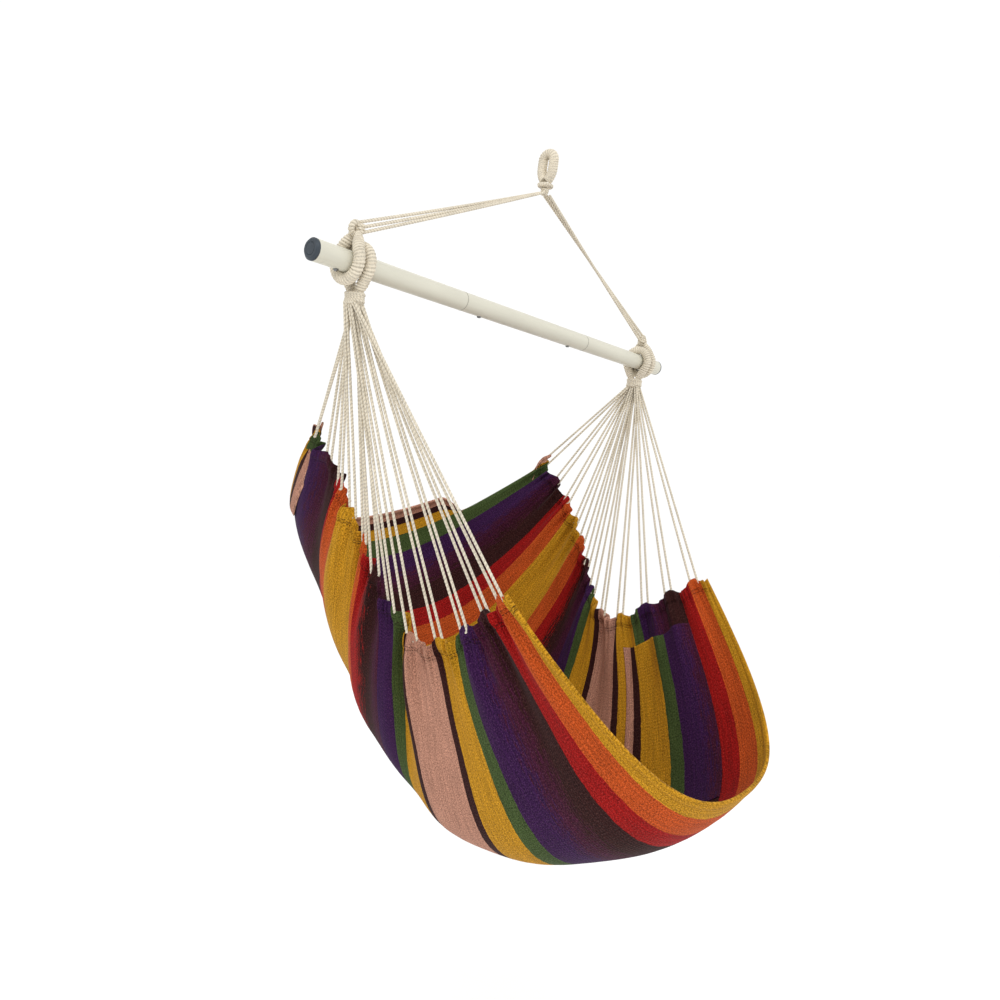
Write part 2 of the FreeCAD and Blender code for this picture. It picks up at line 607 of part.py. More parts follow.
def fan_cord(name, side, pair):
    """One cord, doubled: down from the collar, round inside the header's casing, and back up."""
    row, column = 2 * (pair // COLUMNS), COLUMN_ORDER[pair // COLUMNS][pair % COLUMNS]
    starts = [fan_start(side, row, column), fan_start(side, row + 1, column)]
    edge = point_on(cross_section(HEADER_GATHERS[pair]), side)
    middle = (starts[0] + starts[1]) * 0.5
    turn = edge + (edge - middle).normalize() * size("fan_seat")
    back = (middle - turn).normalize()
    normal = (starts[0] - turn).cross(starts[1] - turn).normalize()
    across = normal.cross(back)
    bight = size("fan_bight")
    ends, contacts, angles = [], [], []
    for start, sign in ((starts[0], 1), (starts[1], -1)):
        if (starts[0] - turn).dot(across) < 0:
            sign = -sign
        local = start - turn
        reach = local.Length
        angle = math.atan2(local.dot(across), local.dot(back)) + sign * math.acos(bight / reach)
        contact = turn + back * (bight * math.cos(angle)) + across * (bight * math.sin(angle))
        angles.append(angle)
        contacts.append(contact)
        ends.append(start + (start - contact).normalize() * size("fan_embed"))
    far = turn - back * bight
    edges = [
        line_edge(ends[0], contacts[0]),
        Part.Arc(contacts[0], far, contacts[1]).toShape(),
        line_edge(contacts[1], ends[1]),
    ]
    feature(f"fan_cord_{name}_{pair + 1:02d}", swept(edges, size("fan_cord") / 2))


# ---- build, check and write -------------------------------------------------------------------

hanging_loop()
loop_binding()
rope_throat()
middle_section()
for side_name, side_sign in SIDES:
    sling_loop_x = size("bar_length") / 2 - size("fan_inset")
    outer_section(side_name, side_sign)
    end_cap(side_name, side_sign)
    snap_button(side_name, side_sign)
    snap_spring(side_name, side_sign)
    stop_pin(side_name, side_sign)
    feature(f"fan_loop_{side_name}", bar_loop(side_sign * sling_loop_x, -1))
    feature(f"suspension_loop_{side_name}", bar_loop(side_sign * (sling_loop_x + size("loop_pitch")), 1))
    suspension_knot(side_name, side_sign)
    suspension_cords(side_name, side_sign)
    whipping(side_name, side_sign)
    for pair_number in range(PAIRS):
        fan_cord(side_name, side_sign, pair_number)
sling()
doc.recompute()

for obj in doc.Objects:
    if {"Invalid", "Error"} & set(obj.State):
        raise RuntimeError(f"{obj.Label} did not recompute: {obj.State}")
for obj in PIECES:
    if obj.Shape.isNull() or not obj.Shape.isValid() or obj.Shape.Volume <= 0:
        raise RuntimeError(f"{obj.Label} is not a valid solid")

os.makedirs("parts", exist_ok=True)
for obj in PIECES:
    obj.Shape.exportStep(f"parts/{obj.Label}.step")
print(len(PIECES), "pieces written")
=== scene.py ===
"""Looks of the hanging hammock chair: striped cotton sling, laid cords, wound loops and painted bar.

Every piece is a surface worked out in metres in the frame's own axes: +Z up, +X along the bar,
-Y towards the sitter's knees, with the origin where the hanging loop bears on its hook.
"""

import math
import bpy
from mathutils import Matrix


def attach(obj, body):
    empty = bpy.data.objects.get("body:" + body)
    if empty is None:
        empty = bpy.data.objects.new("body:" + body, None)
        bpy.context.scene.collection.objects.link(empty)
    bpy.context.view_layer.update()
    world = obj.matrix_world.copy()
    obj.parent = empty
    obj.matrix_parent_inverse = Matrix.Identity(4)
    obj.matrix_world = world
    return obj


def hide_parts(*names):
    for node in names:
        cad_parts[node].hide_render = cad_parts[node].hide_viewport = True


bl_info = {
    "name": "Hanging hammock chair",
    "version": (1, 0, 0),
    "blender": (4, 5, 0),
    "location": "View3D > Sidebar > Hammock chair",
    "description": "Builds the cloth, cords and finishes of a hanging hammock chair on its frame",
    "category": "Object",
}

import bmesh
import bpy
import numpy as np
from bpy.props import FloatProperty, FloatVectorProperty, PointerProperty
from mathutils import Matrix, Vector

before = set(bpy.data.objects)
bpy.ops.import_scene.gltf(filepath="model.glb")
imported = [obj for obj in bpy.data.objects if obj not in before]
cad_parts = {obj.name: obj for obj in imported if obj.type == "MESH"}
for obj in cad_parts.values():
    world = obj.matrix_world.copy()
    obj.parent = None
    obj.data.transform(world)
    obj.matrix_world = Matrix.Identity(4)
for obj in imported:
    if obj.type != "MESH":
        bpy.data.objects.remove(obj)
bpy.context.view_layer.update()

MM = 0.001
SIDES = (("left", -1), ("right", 1))

# ---- the frame's own measures, in millimetres ---------------------------------------------------
BAR_DROP, BAR_RADIUS = 300, 16
FAN_X, SUSPENSION_X, SEAM_X = 412, 433, 185
LOOP_STRAND, LOOP_SLACK, BINDING_DROP, LEG_SPREAD = 18, 0.5, 38, 12
WHIPPING_HEIGHT, WHIPPING_WIDTH, WHIPPING_DEPTH = 20, 26, 40
KNOT_X, KNOT_RISE, KNOT_RADIUS, KNOT_EMBED = 425, 49, 13, 4.3
EYE_STRAND, EYE_GAP, EYE_STRAIGHT, EYE_TAIL = 18, 6, 15, 30
BINDING_TOP, BINDING_FOOT, BINDING_RADIUS = -45.2, -52.2, 15
THROAT_TOP, THROAT_CENTRE, THROAT_BALL, THROAT_RADIUS = -52.5, -60.0, 7, 8
SUSPENSION_CORD, SUSPENSION_PITCH, STRANDS = 5.2, 7.5, 3
FAN_PITCH, FAN_BIGHT, FAN_SEAT, FAN_EMBED = 6.5, 7, 6, 3
PAIRS, COLUMNS = 12, 4
GATHERED = 0.74              # the collar draws the cords together by this much
COLUMN_ORDER = [(3, 1, 0, 2), (2, 3, 1, 0), (3, 2, 1, 0)]

# ---- how the ropes are wound, in millimetres ----------------------------------------------------
# The windings under the hanging loop: node, top, foot, radius, turns, the cord's radius, and how much
# of its radius the winding loses by the foot, and by which power of the way down.
BINDINGS = (("loop_binding", BINDING_TOP, BINDING_FOOT, BINDING_RADIUS, 2.6, 2.0, 0.04, 1),
            ("rope_throat", THROAT_TOP, THROAT_CENTRE - THROAT_BALL, THROAT_RADIUS, 3.4, 1.9, 0.42, 2))
RING_RADIUS, RING_WAVE, RING_ROPE, RING_TURNS = 8.2, 1.2, 4.7, 13
HITCH_TURNS, HITCH_OUT, HITCH_LENGTH, HITCH_DEPTH, HITCH_PITCH = 3, 6.8, 5.6, 6.2, 4.6
COLLAR_CORD, COLLAR_TURNS, COLLAR_WAIST = 2.45, 4.6, 0.10
COLLAR_INSET = (0.2, 0.6, 0.1)             # between the wound cord and the collar's side, front and ends
SEAM_DEPTH, SEAM_RISE = 0.4, 0.12
# Distance from point to point along a path, in metres.
ROPE_STEP, SERVED_STEP, EYE_STEP, COLLAR_STEP, BINDING_STEP = 0.0018, 0.0006, 0.0005, 0.0014, 0.001
SERVED_YARN = 0.0011         # metres between the yarns of the twine

# ---- the sling's shape, in millimetres ----------------------------------------------------------
SLING_HALF_WIDTH, SLING_HEIGHT = 325, -728
HEADER_POLES = [(0, -270, 0), (-100, -197, -38), (-50, 110, -377), (12, -214, 95), (15, 223, 161),
                (4, 138, 197)]
CENTRE_POLES = [(-524, -272), (-438, -491), (-16, -527), (42, -628), (15, -247), (460, -108), (438, 0)]
SQUARENESS = [3.6, 7.0, 2.13]
BULGE = [0.055, 0.08, -0.03]
CREASE_SOFTENING = 0.3
GATHERS = np.array([0.039, 0.107, 0.174, 0.262, 0.370, 0.482, 0.572, 0.639, 0.693, 0.758, 0.830, 0.935])
CORD_SHARE = 0.10            # half the width that one cord holds up, as a share of the way to the next
# Deep folds that run down from a header: side, where across the cloth, half width there, height into the
# seat in millimetres, and the length in which it fades.
DEEP_FOLDS = [(-1, 0.447, 0.030, 44, 0.33), (-1, 0.655, 0.016, 13, 0.22), (-1, 0.700, 0.026, -12, 0.24),
              (-1, 0.385, 0.022, -9, 0.30), (-1, 0.800, 0.022, 14, 0.20), (-1, 0.860, 0.020, -9, 0.20),
              (1, 0.350, 0.022, -10, 0.20), (1, 0.300, 0.018, 9, 0.22), (1, 0.480, 0.022, 10, 0.20),
              (1, 0.160, 0.020, 6, 0.16), (-1, 0.240, 0.022, 8, 0.22), (-1, 0.300, 0.024, 9, 0.26)]
# The loose back edge curls over, away from the sitter, between the middle and each corner.
CURL_START, CURL_RADIUS, CURL_TURN = 0.914, 7, 3.0
CURL_IN, CURL_OUT = (0.46, 0.62), (0.84, 0.97)      # shares of the way to the header
CURL_LENGTH = 0.85           # metres of cloth for the whole width at the back, where it hangs closest
FLAT_LENGTH, FLAT_WIDTH = 1.09, 1.24       # metres, along the stripes and across them
HEADER_DEPTH = 25
STITCH_ROWS, STITCH_THICKNESS, STITCH_PITCH, STITCH_LENGTH = (21.5, 27.5), 1.4, 5, 3.2
# The hems: node, and the middle and half width of the roll as shares of the cloth's width.
HEMS = (("front_hem", 0.0045, 0.0052), ("back_hem", 0.9945, 0.0055))
HEM_HEIGHT, CASING_HEIGHT, CASING_CRIMP, CASING_SWELL = 3.4, 2.6, 1.0, 1.7
CLOTH_COLUMNS, CLOTH_ROWS, HEADER_ROWS, POCKET_ROWS = 97, 500, 620, 90

# Stripes from the knees to the back: dye, and where it ends as a share of the cloth's width.
STRIPES = [
    ("yellow", 0.0228), ("orange", 0.0532), ("red", 0.0800), ("brown", 0.1190),
    ("plum", 0.1480), ("violet", 0.1895), ("green", 0.2132), ("yellow", 0.2695),
    ("brown", 0.2851), ("pink", 0.3831), ("brown", 0.3987), ("yellow", 0.4549),
    ("green", 0.4786), ("violet", 0.5200), ("plum", 0.5491), ("brown", 0.5881),
    ("red", 0.6150), ("orange", 0.6453), ("yellow", 0.7213), ("orange", 0.7517),
    ("red", 0.7785), ("brown", 0.8175), ("plum", 0.8460), ("violet", 0.8860),
    ("green", 0.9220), ("yellow", 0.9500), ("brown", 0.9700), ("pink", 1.0),
]
# Where brown passes over plum into violet without a sharp edge, as shares of the cloth's width.
BLENDED = [(0.112, 0.158), (0.536, 0.592), (0.812, 0.856)]
BLEND_FADE, BLEND_REACH = 0.012, 0.09
# The pocket: from and to as shares of the way to the right header, then from knees to back.
POCKET = (0.24, 0.87, 0.082, 0.250)
POCKET_STRIPE_SHIFT = 0.052
POCKET_GAP, POCKET_GAPE, POCKET_FACES = 1.6, 2.2, (-0.4, 1.1)        # millimetres

# ---- the stage, in metres -----------------------------------------------------------------------
FLOOR_REACH, FLOOR_HEIGHT, FLOOR_TONES = 40.0, -1.9, (0.985, 0.995)
LAMP_TARGET = (0, -0.05, -0.75)
# Lamps: name, place, size and power in watts.
LAMPS = (("key", (-2.2, -2.0, 2.4), 1.6, 34), ("fill", (0.6, -3.4, -0.2), 2.4, 4),
         ("rim", (1.8, 2.6, 1.2), 2.0, 14))


def linear(code):
    """An sRGB hex colour as linear red, green and blue."""
    value = [int(code[i:i + 2], 16) / 255 for i in (1, 3, 5)]
    return tuple(c / 12.92 if c <= 0.04045 else ((c + 0.055) / 1.055) ** 2.4 for c in value)


# ---- settings -----------------------------------------------------------------------------------

def length_setting(name, description, default, low, high):
    return FloatProperty(name=name, description=description, unit="LENGTH", default=default, min=low,
                         max=high)


def colour_setting(name, description, code):
    return FloatVectorProperty(name=name, description=description, subtype="COLOR", size=3, min=0, max=1,
                               default=linear(code))


def dye(name, code):
    return colour_setting(name, f"{name} of the dyed cotton yarn", code)


class ClothSettings(bpy.types.PropertyGroup):
    thickness: length_setting("Cloth", "Thickness of the woven cotton", 0.0018, 0.0008, 0.003)
    pleat_depth: length_setting("Pleats", "Height of the folds gathered at the headers", 0.0062, 0, 0.01)
    fold_depth: length_setting("Folds", "Height of the broad folds that run from the headers", 0.012, 0, 0.02)
    scallop: length_setting("Scallops", "How far the header's edge sags between two cords", 0.013, 0, 0.02)
    yellow: dye("Yellow", "#C48D1C")
    orange: dye("Orange", "#C2511C")
    red: dye("Red", "#9C110F")
    brown: dye("Brown", "#341514")
    plum: dye("Plum", "#45142E")
    violet: dye("Violet", "#391746")
    green: dye("Green", "#43552B")
    pink: dye("Pink", "#C08C76")


class RopeSettings(bpy.types.PropertyGroup):
    fan_cord: length_setting("Fan cord", "Diameter of the laid cord of the fans", 0.0046, 0.003, 0.006)
    suspension_cord: length_setting("Suspension cord", "Diameter of the cord to the hanging loop", 0.0052,
                                    0.003, 0.006)
    lay: length_setting("Lay", "Length in which a strand of the cord goes once round", 0.017, 0.01, 0.03)
    twine: length_setting("Twine", "Thickness of the twine wound round the loops", 0.005, 0.003, 0.007)
    cotton: colour_setting("Cotton", "Colour of the undyed cotton rope", "#E0D6C2")


class BarSettings(bpy.types.PropertyGroup):
    paint: colour_setting("Paint", "Colour of the powder coat on the tube", "#D3D0C0")
    cap: colour_setting("Caps", "Colour of the moulded end caps", "#2C363F")
    seam: length_setting("Seam", "Width of the line where two sections meet", 0.0012, 0.0005, 0.003)


class StageSettings(bpy.types.PropertyGroup):
    lens: FloatProperty(name="Lens", description="Focal length for a 36 mm wide sensor", default=29.7,
                        min=10, max=200)
    distance: FloatVectorProperty(name="Camera", description="Where the camera stands", subtype="XYZ", size=3,
                                  unit="LENGTH", default=(-1.209, -0.949, -0.548))
    turn: FloatVectorProperty(name="Turn", description="Azimuth, elevation and roll of the camera",
                              subtype="EULER", size=3, unit="ROTATION",
                              default=(math.radians(-51.58), math.radians(3.04), math.radians(7.45)))
    light: FloatProperty(name="Light", description="Strength of the even light from all round", default=1.04,
                         min=0, max=4)


# ---- small helpers ------------------------------------------------------------------------------

def quads(rows, columns, wrap_rows=False, wrap_columns=False):
    """Faces of a grid of points stored row after row; a wrapped direction is joined end to start."""
    i = np.arange(rows if wrap_rows else rows - 1)[:, None]
    j = np.arange(columns if wrap_columns else columns - 1)[None, :]
    ahead_i, ahead_j = (i + 1) % rows, (j + 1) % columns
    corners = [i * columns + j, i * columns + ahead_j, ahead_i * columns + ahead_j, ahead_i * columns + j]
    return np.stack([np.broadcast_to(c, (i.shape[0], j.shape[1])) for c in corners], -1).reshape(-1, 4)


def mesh_piece(name, points, faces, uv=None, smooth=True):
    """A mesh object from arrays. Faces is a list of index arrays, one for each number of corners.
    uv gives one pair for each point."""
    mesh = bpy.data.meshes.new(name)
    listed = [face for block in faces for face in np.asarray(block).tolist()]
    mesh.from_pydata(np.asarray(points).reshape(-1, 3).tolist(), [], listed)
    if uv is not None:
        layer = mesh.uv_layers.new(name="Flat")
        corner = np.zeros(len(mesh.loops), np.int32)
        mesh.loops.foreach_get("vertex_index", corner)
        layer.data.foreach_set("uv", np.asarray(uv, np.float32).reshape(-1, 2)[corner].ravel())
    mesh.polygons.foreach_set("use_smooth", np.full(len(mesh.polygons), smooth))
    mesh.update()
    obj = bpy.data.objects.new(name, mesh)
    bpy.context.scene.collection.objects.link(obj)
    return obj


def finish_piece(obj, material, body, replaces=()):
    """Gives a piece its material, its body and the frame's nodes that it stands for."""
    obj.data.materials.clear()
    obj.data.materials.append(material)
    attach(obj, body)
    if replaces:
        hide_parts(*replaces)
    return obj


def frames_along(path):
    """Unit tangent, and two unit vectors square to it, at each point of a path. The first square vector
    is carried along the path without twist: each step takes away its part along the new tangent."""
    tangent = np.gradient(path, axis=0)
    tangent /= np.linalg.norm(tangent, axis=1)[:, None]
    start = np.cross(tangent[0], (0.0, 0.0, 1.0) if abs(tangent[0][2]) < 0.9 else (1.0, 0.0, 0.0))
    side = np.empty_like(path)
    side[0] = start / np.linalg.norm(start)
    for k in range(1, len(path)):
        carried = side[k - 1] - tangent[k] * (side[k - 1] @ tangent[k])
        side[k] = carried / np.linalg.norm(carried)
    return tangent, side, np.cross(tangent, side)


def even(path, step):
    """The path again with points a given step apart, by straight interpolation over its length."""
    length = np.concatenate([[0], np.cumsum(np.linalg.norm(np.diff(path, axis=0), axis=1))])
    count = max(3, int(round(length[-1] / step)) + 1)
    wanted = np.linspace(0, length[-1], count)
    return np.stack([np.interp(wanted, length, path[:, k]) for k in range(3)], -1)


def rope_mesh(name, path, radius_of, around=24, closed=False, squash=(1.0, 1.0)):
    """A rope skin: at distance s along the path and angle a round it, the radius is radius_of(s, a).
    Ends are closed with a face each; a closed rope joins its end to its start."""
    s = np.concatenate([[0], np.cumsum(np.linalg.norm(np.diff(path, axis=0), axis=1))])
    _, side, up = frames_along(path)
    angle = np.arange(around) / around * 2 * math.pi
    radius = radius_of(s[:, None], angle[None, :])
    ring = side[:, None, :] * (radius * np.cos(angle) * squash[0])[..., None]
    ring = ring + up[:, None, :] * (radius * np.sin(angle) * squash[1])[..., None]
    points = path[:, None, :] + ring
    faces = [quads(len(path), around, wrap_rows=closed, wrap_columns=True)]
    if not closed:
        last = (len(path) - 1) * around
        faces += [np.arange(around)[None, ::-1], last + np.arange(around)[None, :]]
    uv = np.stack(np.broadcast_arrays(s[:, None], angle[None, :] / (2 * math.pi)), -1)
    return mesh_piece(name, points, faces, uv)


def laid(radius, lay, strands=3):
    """Radius of a laid cord: three round strands whose ridges go once round in one lay."""
    def of(s, a):
        ridge = np.abs(np.cos(strands / 2 * (a - 2 * math.pi * s / lay)))
        return radius * (0.74 + 0.26 * ridge ** 0.8)
    return of


def served(radius, twine):
    """Radius of a rope wound with one twine: each turn is a round ridge as wide as the twine is thick."""
    def of(s, a):
        share = (s / twine - a / (2 * math.pi)) % 1.0
        return radius - 0.42 * twine * (1 - np.sqrt(np.clip(1 - (2 * share - 1) ** 2, 0, 1)))
    return of


def narrowed(radius_of, length, taper, least):
    """The same rope, drawn in to a least share of its radius over a taper at both of its ends."""
    def of(s, a):
        share = np.clip(np.minimum(s, length - s) / taper, 0, 1)
        return radius_of(s, a) * (least + (1 - least) * share ** 0.7)
    return of


def blunted(share, least, slope):
    """Draws a piece in at both ends: from the least share of its width up to all of it by the slope."""
    return np.minimum(1, least + slope * np.minimum(share, 1 - share))


def core(name, x, half, high, low, inset, around):
    """The closed core under a winding: ovals round an upright line at x, from high to low less an inset
    at each end, in millimetres. half gives half the width and half the depth at even levels."""
    count = len(half)
    share = np.linspace(0, 1, count)[:, None]
    angle = np.linspace(0, 2 * math.pi, around, endpoint=False)[None, :]
    points = np.stack(np.broadcast_arrays(x + half[:, :1] * np.cos(angle), half[:, 1:] * np.sin(angle),
                                          high - inset - share * (high - low - 2 * inset)), -1)
    uv = np.stack(np.broadcast_arrays(share * (high - low) * MM, angle / (2 * math.pi)), -1)
    end = np.arange(around)[None, :]
    faces = [quads(count, around, wrap_columns=True), end[:, ::-1], end + (count - 1) * around]
    return outward(mesh_piece(name, points * MM, faces, uv))


def spline_path(points):
    """Points along the smooth NURBS line that has the given points as its controls."""
    curve = bpy.data.curves.new("route", "CURVE")
    curve.dimensions = "3D"
    curve.resolution_u = 24
    spline = curve.splines.new("NURBS")
    spline.points.add(len(points) - 1)
    spline.points.foreach_set("co", np.column_stack([points, np.ones(len(points))]).ravel())
    spline.order_u = 3
    spline.use_endpoint_u = True
    holder = bpy.data.objects.new("route", curve)
    line = bpy.data.meshes.new_from_object(holder)
    path = np.zeros(len(line.vertices) * 3)
    line.vertices.foreach_get("co", path)
    bpy.data.objects.remove(holder)
    bpy.data.curves.remove(curve)
    bpy.data.meshes.remove(line)
    return path.reshape(-1, 3)


# ---- the sling's surface ------------------------------------------------------------------------

def bezier(poles, share):
    """Points of a Bezier curve: the sum of each pole times its Bernstein weight at each share."""
    poles = np.asarray(poles, float)
    degree = len(poles) - 1
    i = np.arange(degree + 1)
    choose = np.array([math.comb(degree, k) for k in i])
    share = np.asarray(share, float)[..., None]
    return (choose * share ** i * (1 - share) ** (degree - i)) @ poles


def smooth_sling(u, v):
    """The sling without folds. u is -1 at the left header and 1 at the right, as a share of the cross
    section's length; v is 0 at the knees and 1 at the back. Height and depth go from the centre line to
    the header as a softened power of the distance out, and the width bulges by a small polynomial.
    u has one row for each v; the result is in metres."""
    out = np.linspace(0, 1, 181)[None, :]
    header, centre = bezier(HEADER_POLES, v), bezier(CENTRE_POLES, v)
    power, bulge = bezier(SQUARENESS, v)[:, None], bezier(BULGE, v)[:, None]
    soft = CREASE_SOFTENING ** 2
    low, high = soft ** (power / 2), (1 + soft) ** (power / 2)
    rise = ((out ** 2 + soft) ** (power / 2) - low) / (high - low)
    x = (header[:, :1] + SLING_HALF_WIDTH) * out * (1 + bulge * out * (1 - out ** 4))
    y = centre[:, :1] + (header[:, 1:2] - centre[:, :1]) * rise
    z = centre[:, 1:2] + (header[:, 2:3] - centre[:, 1:2]) * rise + SLING_HEIGHT
    line = np.stack([x, y, z], -1)
    length = np.cumsum(np.linalg.norm(np.diff(line, axis=1), axis=-1), axis=1)
    length = np.concatenate([np.zeros((len(v), 1)), length], 1)
    wanted = np.minimum(np.abs(u), 1) * length[:, -1:]
    k = np.clip((length[:, None, :] < wanted[:, :, None]).sum(-1), 1, out.shape[1] - 1)
    row = np.arange(len(v))[:, None]
    before, after = length[row, k - 1], length[row, k]
    part = ((wanted - before) / (after - before))[..., None]
    point = line[row, k - 1] * (1 - part) + line[row, k] * part
    point[..., 0] *= np.where(u < 0, -1, 1)
    return point * MM, length[:, -1:] * MM


def between_gathers(v):
    """How far the header sags: 0 over the width that a doubled cord pulls up, and 1 halfway to the next,
    as a quarter sine from the one to the other. The phase goes up by one from cord to cord."""
    marks = np.concatenate([[GATHERS[0] - 0.055], GATHERS, [GATHERS[-1] + 0.075]])
    phase = np.interp(v, marks, np.arange(len(marks)))
    off = np.abs(phase - np.round(phase))
    return np.sin(np.clip((off - CORD_SHARE) / (0.5 - CORD_SHARE), 0, 1) * math.pi / 2), phase


def gathered(u, v, cloth):
    """Shifts u so that the header's edge sags between the cords: a bow that fades over the first hand's
    width of cloth."""
    bow, _ = between_gathers(v)
    near = np.clip((np.abs(u) - 0.62) / 0.38, 0, 1) ** 2
    return u * (1 - cloth.scallop / (FLAT_LENGTH / 2) * bow[:, None] * near)


def folds(u, v, distance, cloth):
    """Height of the folds over the smooth sling. Pleats gathered by each cord run down from the header:
    three families of sines of the place along the header, the finest dying out first, each with its own
    drifting phase, so that no two folds are alike. Soft hollows of the slack cloth lie between."""
    _, phase = between_gathers(v)
    phase = phase[:, None] + 0 * u
    off = np.clip(np.abs(phase - np.round(phase)) - CORD_SHARE, 0, 1)
    held = np.exp(-(off / 0.09) ** 2 - (distance / 0.024) ** 2)
    side = np.where(u < 0, 0.0, 1.7)
    v = v[:, None] + 0 * u
    drift = 0.55 * np.sin(5.1 * v + 9 * distance + side) + 0.35 * np.sin(13.7 * v - 6 * distance + 2 * side)
    fine = np.sin(2 * math.pi * (3.5 * phase) + 1.3 * drift) * (0.75 + 0.25 * np.sin(11 * phase + side))
    middle = np.sin(2 * math.pi * (1.5 * phase) + 2.1 * drift + side)
    broad = np.sin(2 * math.pi * (0.5 * phase) + 1.7 * drift + 1.1 * side)
    height = cloth.pleat_depth * fine * np.exp(-(distance / 0.050) ** 1.5)
    height += 0.55 * cloth.fold_depth * middle * np.exp(-(distance / 0.125) ** 1.6)
    height += cloth.fold_depth * broad * (distance / 0.10) * np.exp(-(distance / 0.16) ** 1.3) * 0.9
    crimp = np.sin(2 * math.pi * 7.3 * phase + 2.2 * np.sin(3.1 * phase + side))
    height += 0.0017 * crimp * np.exp(-((distance - 0.012) / 0.026) ** 2)
    slack = np.sin(7.3 * v + 3.1 * u + 0.8 * np.sin(9 * u)) * np.sin(4.7 * u - 8.9 * v + 1.2)
    ripple = np.sin(31 * v + 5 * u + 2 * np.sin(6 * u + 4 * v))
    height += 0.0035 * slack + 0.0012 * ripple * np.exp(-(distance / 0.35) ** 2)
    for side_of, place, half, tall, fade in DEEP_FOLDS:
        reach = (v - place - 0.02 * (1 - np.abs(u))) / (half * (0.7 + 1.2 * distance / fade))
        height += np.where(u * side_of > 0, tall * MM, 0) * np.exp(-reach ** 2 - (distance / fade) ** 2)
    hem = np.minimum(v, 1 - v) / 0.05
    return height * np.clip(0.35 + 0.65 * hem, 0, 1) * (1 - held)


def cloth_at(u, v, cloth):
    """Point and unit normal (into the seat) of the folded cloth for each u and v."""
    u = np.broadcast_to(u, (len(v), np.shape(u)[-1])).astype(float)
    shifted = gathered(u, v, cloth)
    here, half = smooth_sling(shifted, v)
    step_u, step_v = 0.01, 0.004
    ahead, behind = np.minimum(shifted + step_u, 1), np.maximum(shifted - step_u, -1)
    along = smooth_sling(ahead, v)[0] - smooth_sling(behind, v)[0]
    lower, upper = np.clip(v - step_v, 0, 1), np.clip(v + step_v, 0, 1)
    across = smooth_sling(shifted, upper)[0] - smooth_sling(shifted, lower)[0]
    normal = np.cross(along, across)
    normal /= np.linalg.norm(normal, axis=-1)[..., None]
    height = folds(shifted, v, (1 - np.abs(u)) * half, cloth)
    folded = here + normal * height[..., None]
    return curled(folded, normal, shifted, v)


def smooth_step(value, low, high):
    """0 below low and 1 above high, with an even turn between them."""
    share = np.clip((value - low) / (high - low), 0, 1)
    return share * share * (3 - 2 * share)


def curled(points, normal, u, v):
    """The cloth with its loose back edge rolled over. Past the line where the curl starts, the cloth goes
    round a circle behind it: R sin(a) on and R (1 - cos(a)) out, with a the way from that line over R.
    Between the middle and the corners the curl comes in and goes out again by smooth steps."""
    past = np.clip(v - CURL_START, 0, 1)[:, None]
    if not past.any():
        return points, normal
    line = np.full(1, CURL_START)
    at = smooth_sling(u.reshape(1, -1), line)[0].reshape(points.shape)
    near = smooth_sling(u.reshape(1, -1), line - 0.004)[0].reshape(points.shape)
    forward = (at - near) / np.linalg.norm(at - near, axis=-1)[..., None]
    angle = np.clip(past * CURL_LENGTH / (CURL_RADIUS * MM), 0, CURL_TURN)[..., None]
    rest = past[..., None] * CURL_LENGTH - angle * CURL_RADIUS * MM
    out = (1 - np.cos(angle)) * CURL_RADIUS * MM + rest * np.sin(angle)
    on = np.sin(angle) * CURL_RADIUS * MM + rest * np.cos(angle)
    rolled_over = at + forward * on - normal * out
    share = smooth_step(np.abs(u), *CURL_IN) * (1 - smooth_step(np.abs(u), *CURL_OUT)) * (past > 0)
    share = share[..., None]
    turned = normal * np.cos(angle) + forward * np.sin(angle)
    return points * (1 - share) + rolled_over * share, normal * (1 - share) + turned * share


def slab(name, points, normal, low, high, uv):
    """A closed sheet: the points moved along their normals by low and by high, joined round the edge."""
    rows, columns = points.shape[:2]
    inner, outer = points + normal * high, points + normal * low
    count = rows * columns
    face = quads(rows, columns)
    index = np.arange(count).reshape(rows, columns)
    rim = np.concatenate([index[0, :], index[1:, -1], index[-1, -2::-1], index[-2:0:-1, 0]])
    ahead = np.roll(rim, -1)
    walls = np.stack([ahead, rim, rim + count, ahead + count], -1)
    both = np.concatenate([inner.reshape(-1, 3), outer.reshape(-1, 3)])
    return mesh_piece(name, both, [face, face[:, ::-1] + count, walls],
                      np.concatenate([uv.reshape(-1, 2)] * 2))


def flat_uv(u, v, shift=0.0):
    """Where a point lies on the flat cloth, in metres: along the stripes, and across them."""
    along = (np.broadcast_to(u, (len(v), np.shape(u)[-1])) + 1) / 2
    across = np.broadcast_to((v + shift)[:, None], along.shape)
    return np.stack([along * FLAT_LENGTH, across * FLAT_WIDTH], -1)


def rolled(name, centre_u, centre_v, half_u, half_v, height, cloth, turns=16):
    """A rolled edge: a full oval carried along the cloth. Round the oval, the place on the cloth goes by a
    cosine and the height over it by a sine to the power 0.6. Each array has one value for each step along."""
    angle = np.arange(turns) / turns * 2 * math.pi
    round_u = centre_u[:, None] + half_u[:, None] * np.cos(angle)
    round_v = centre_v[:, None] + half_v[:, None] * np.cos(angle)
    steps = len(centre_u)
    points, normal = cloth_at(np.clip(round_u.reshape(steps * turns, 1), -1, 1),
                              np.clip(round_v.reshape(steps * turns), 0, 1), cloth)
    points, normal = points.reshape(steps, turns, 3), normal.reshape(steps, turns, 3)
    full = np.sign(np.sin(angle)) * np.abs(np.sin(angle)) ** 0.6
    points = points + normal * (height[:, None] * full)[..., None]
    faces = [quads(steps, turns, wrap_columns=True)]
    last = (steps - 1) * turns
    faces += [np.arange(turns)[None, ::-1], last + np.arange(turns)[None, :]]
    uv = np.stack([(round_u + 1) / 2 * FLAT_LENGTH, round_v * FLAT_WIDTH], -1)
    return mesh_piece(name, points, faces, uv)


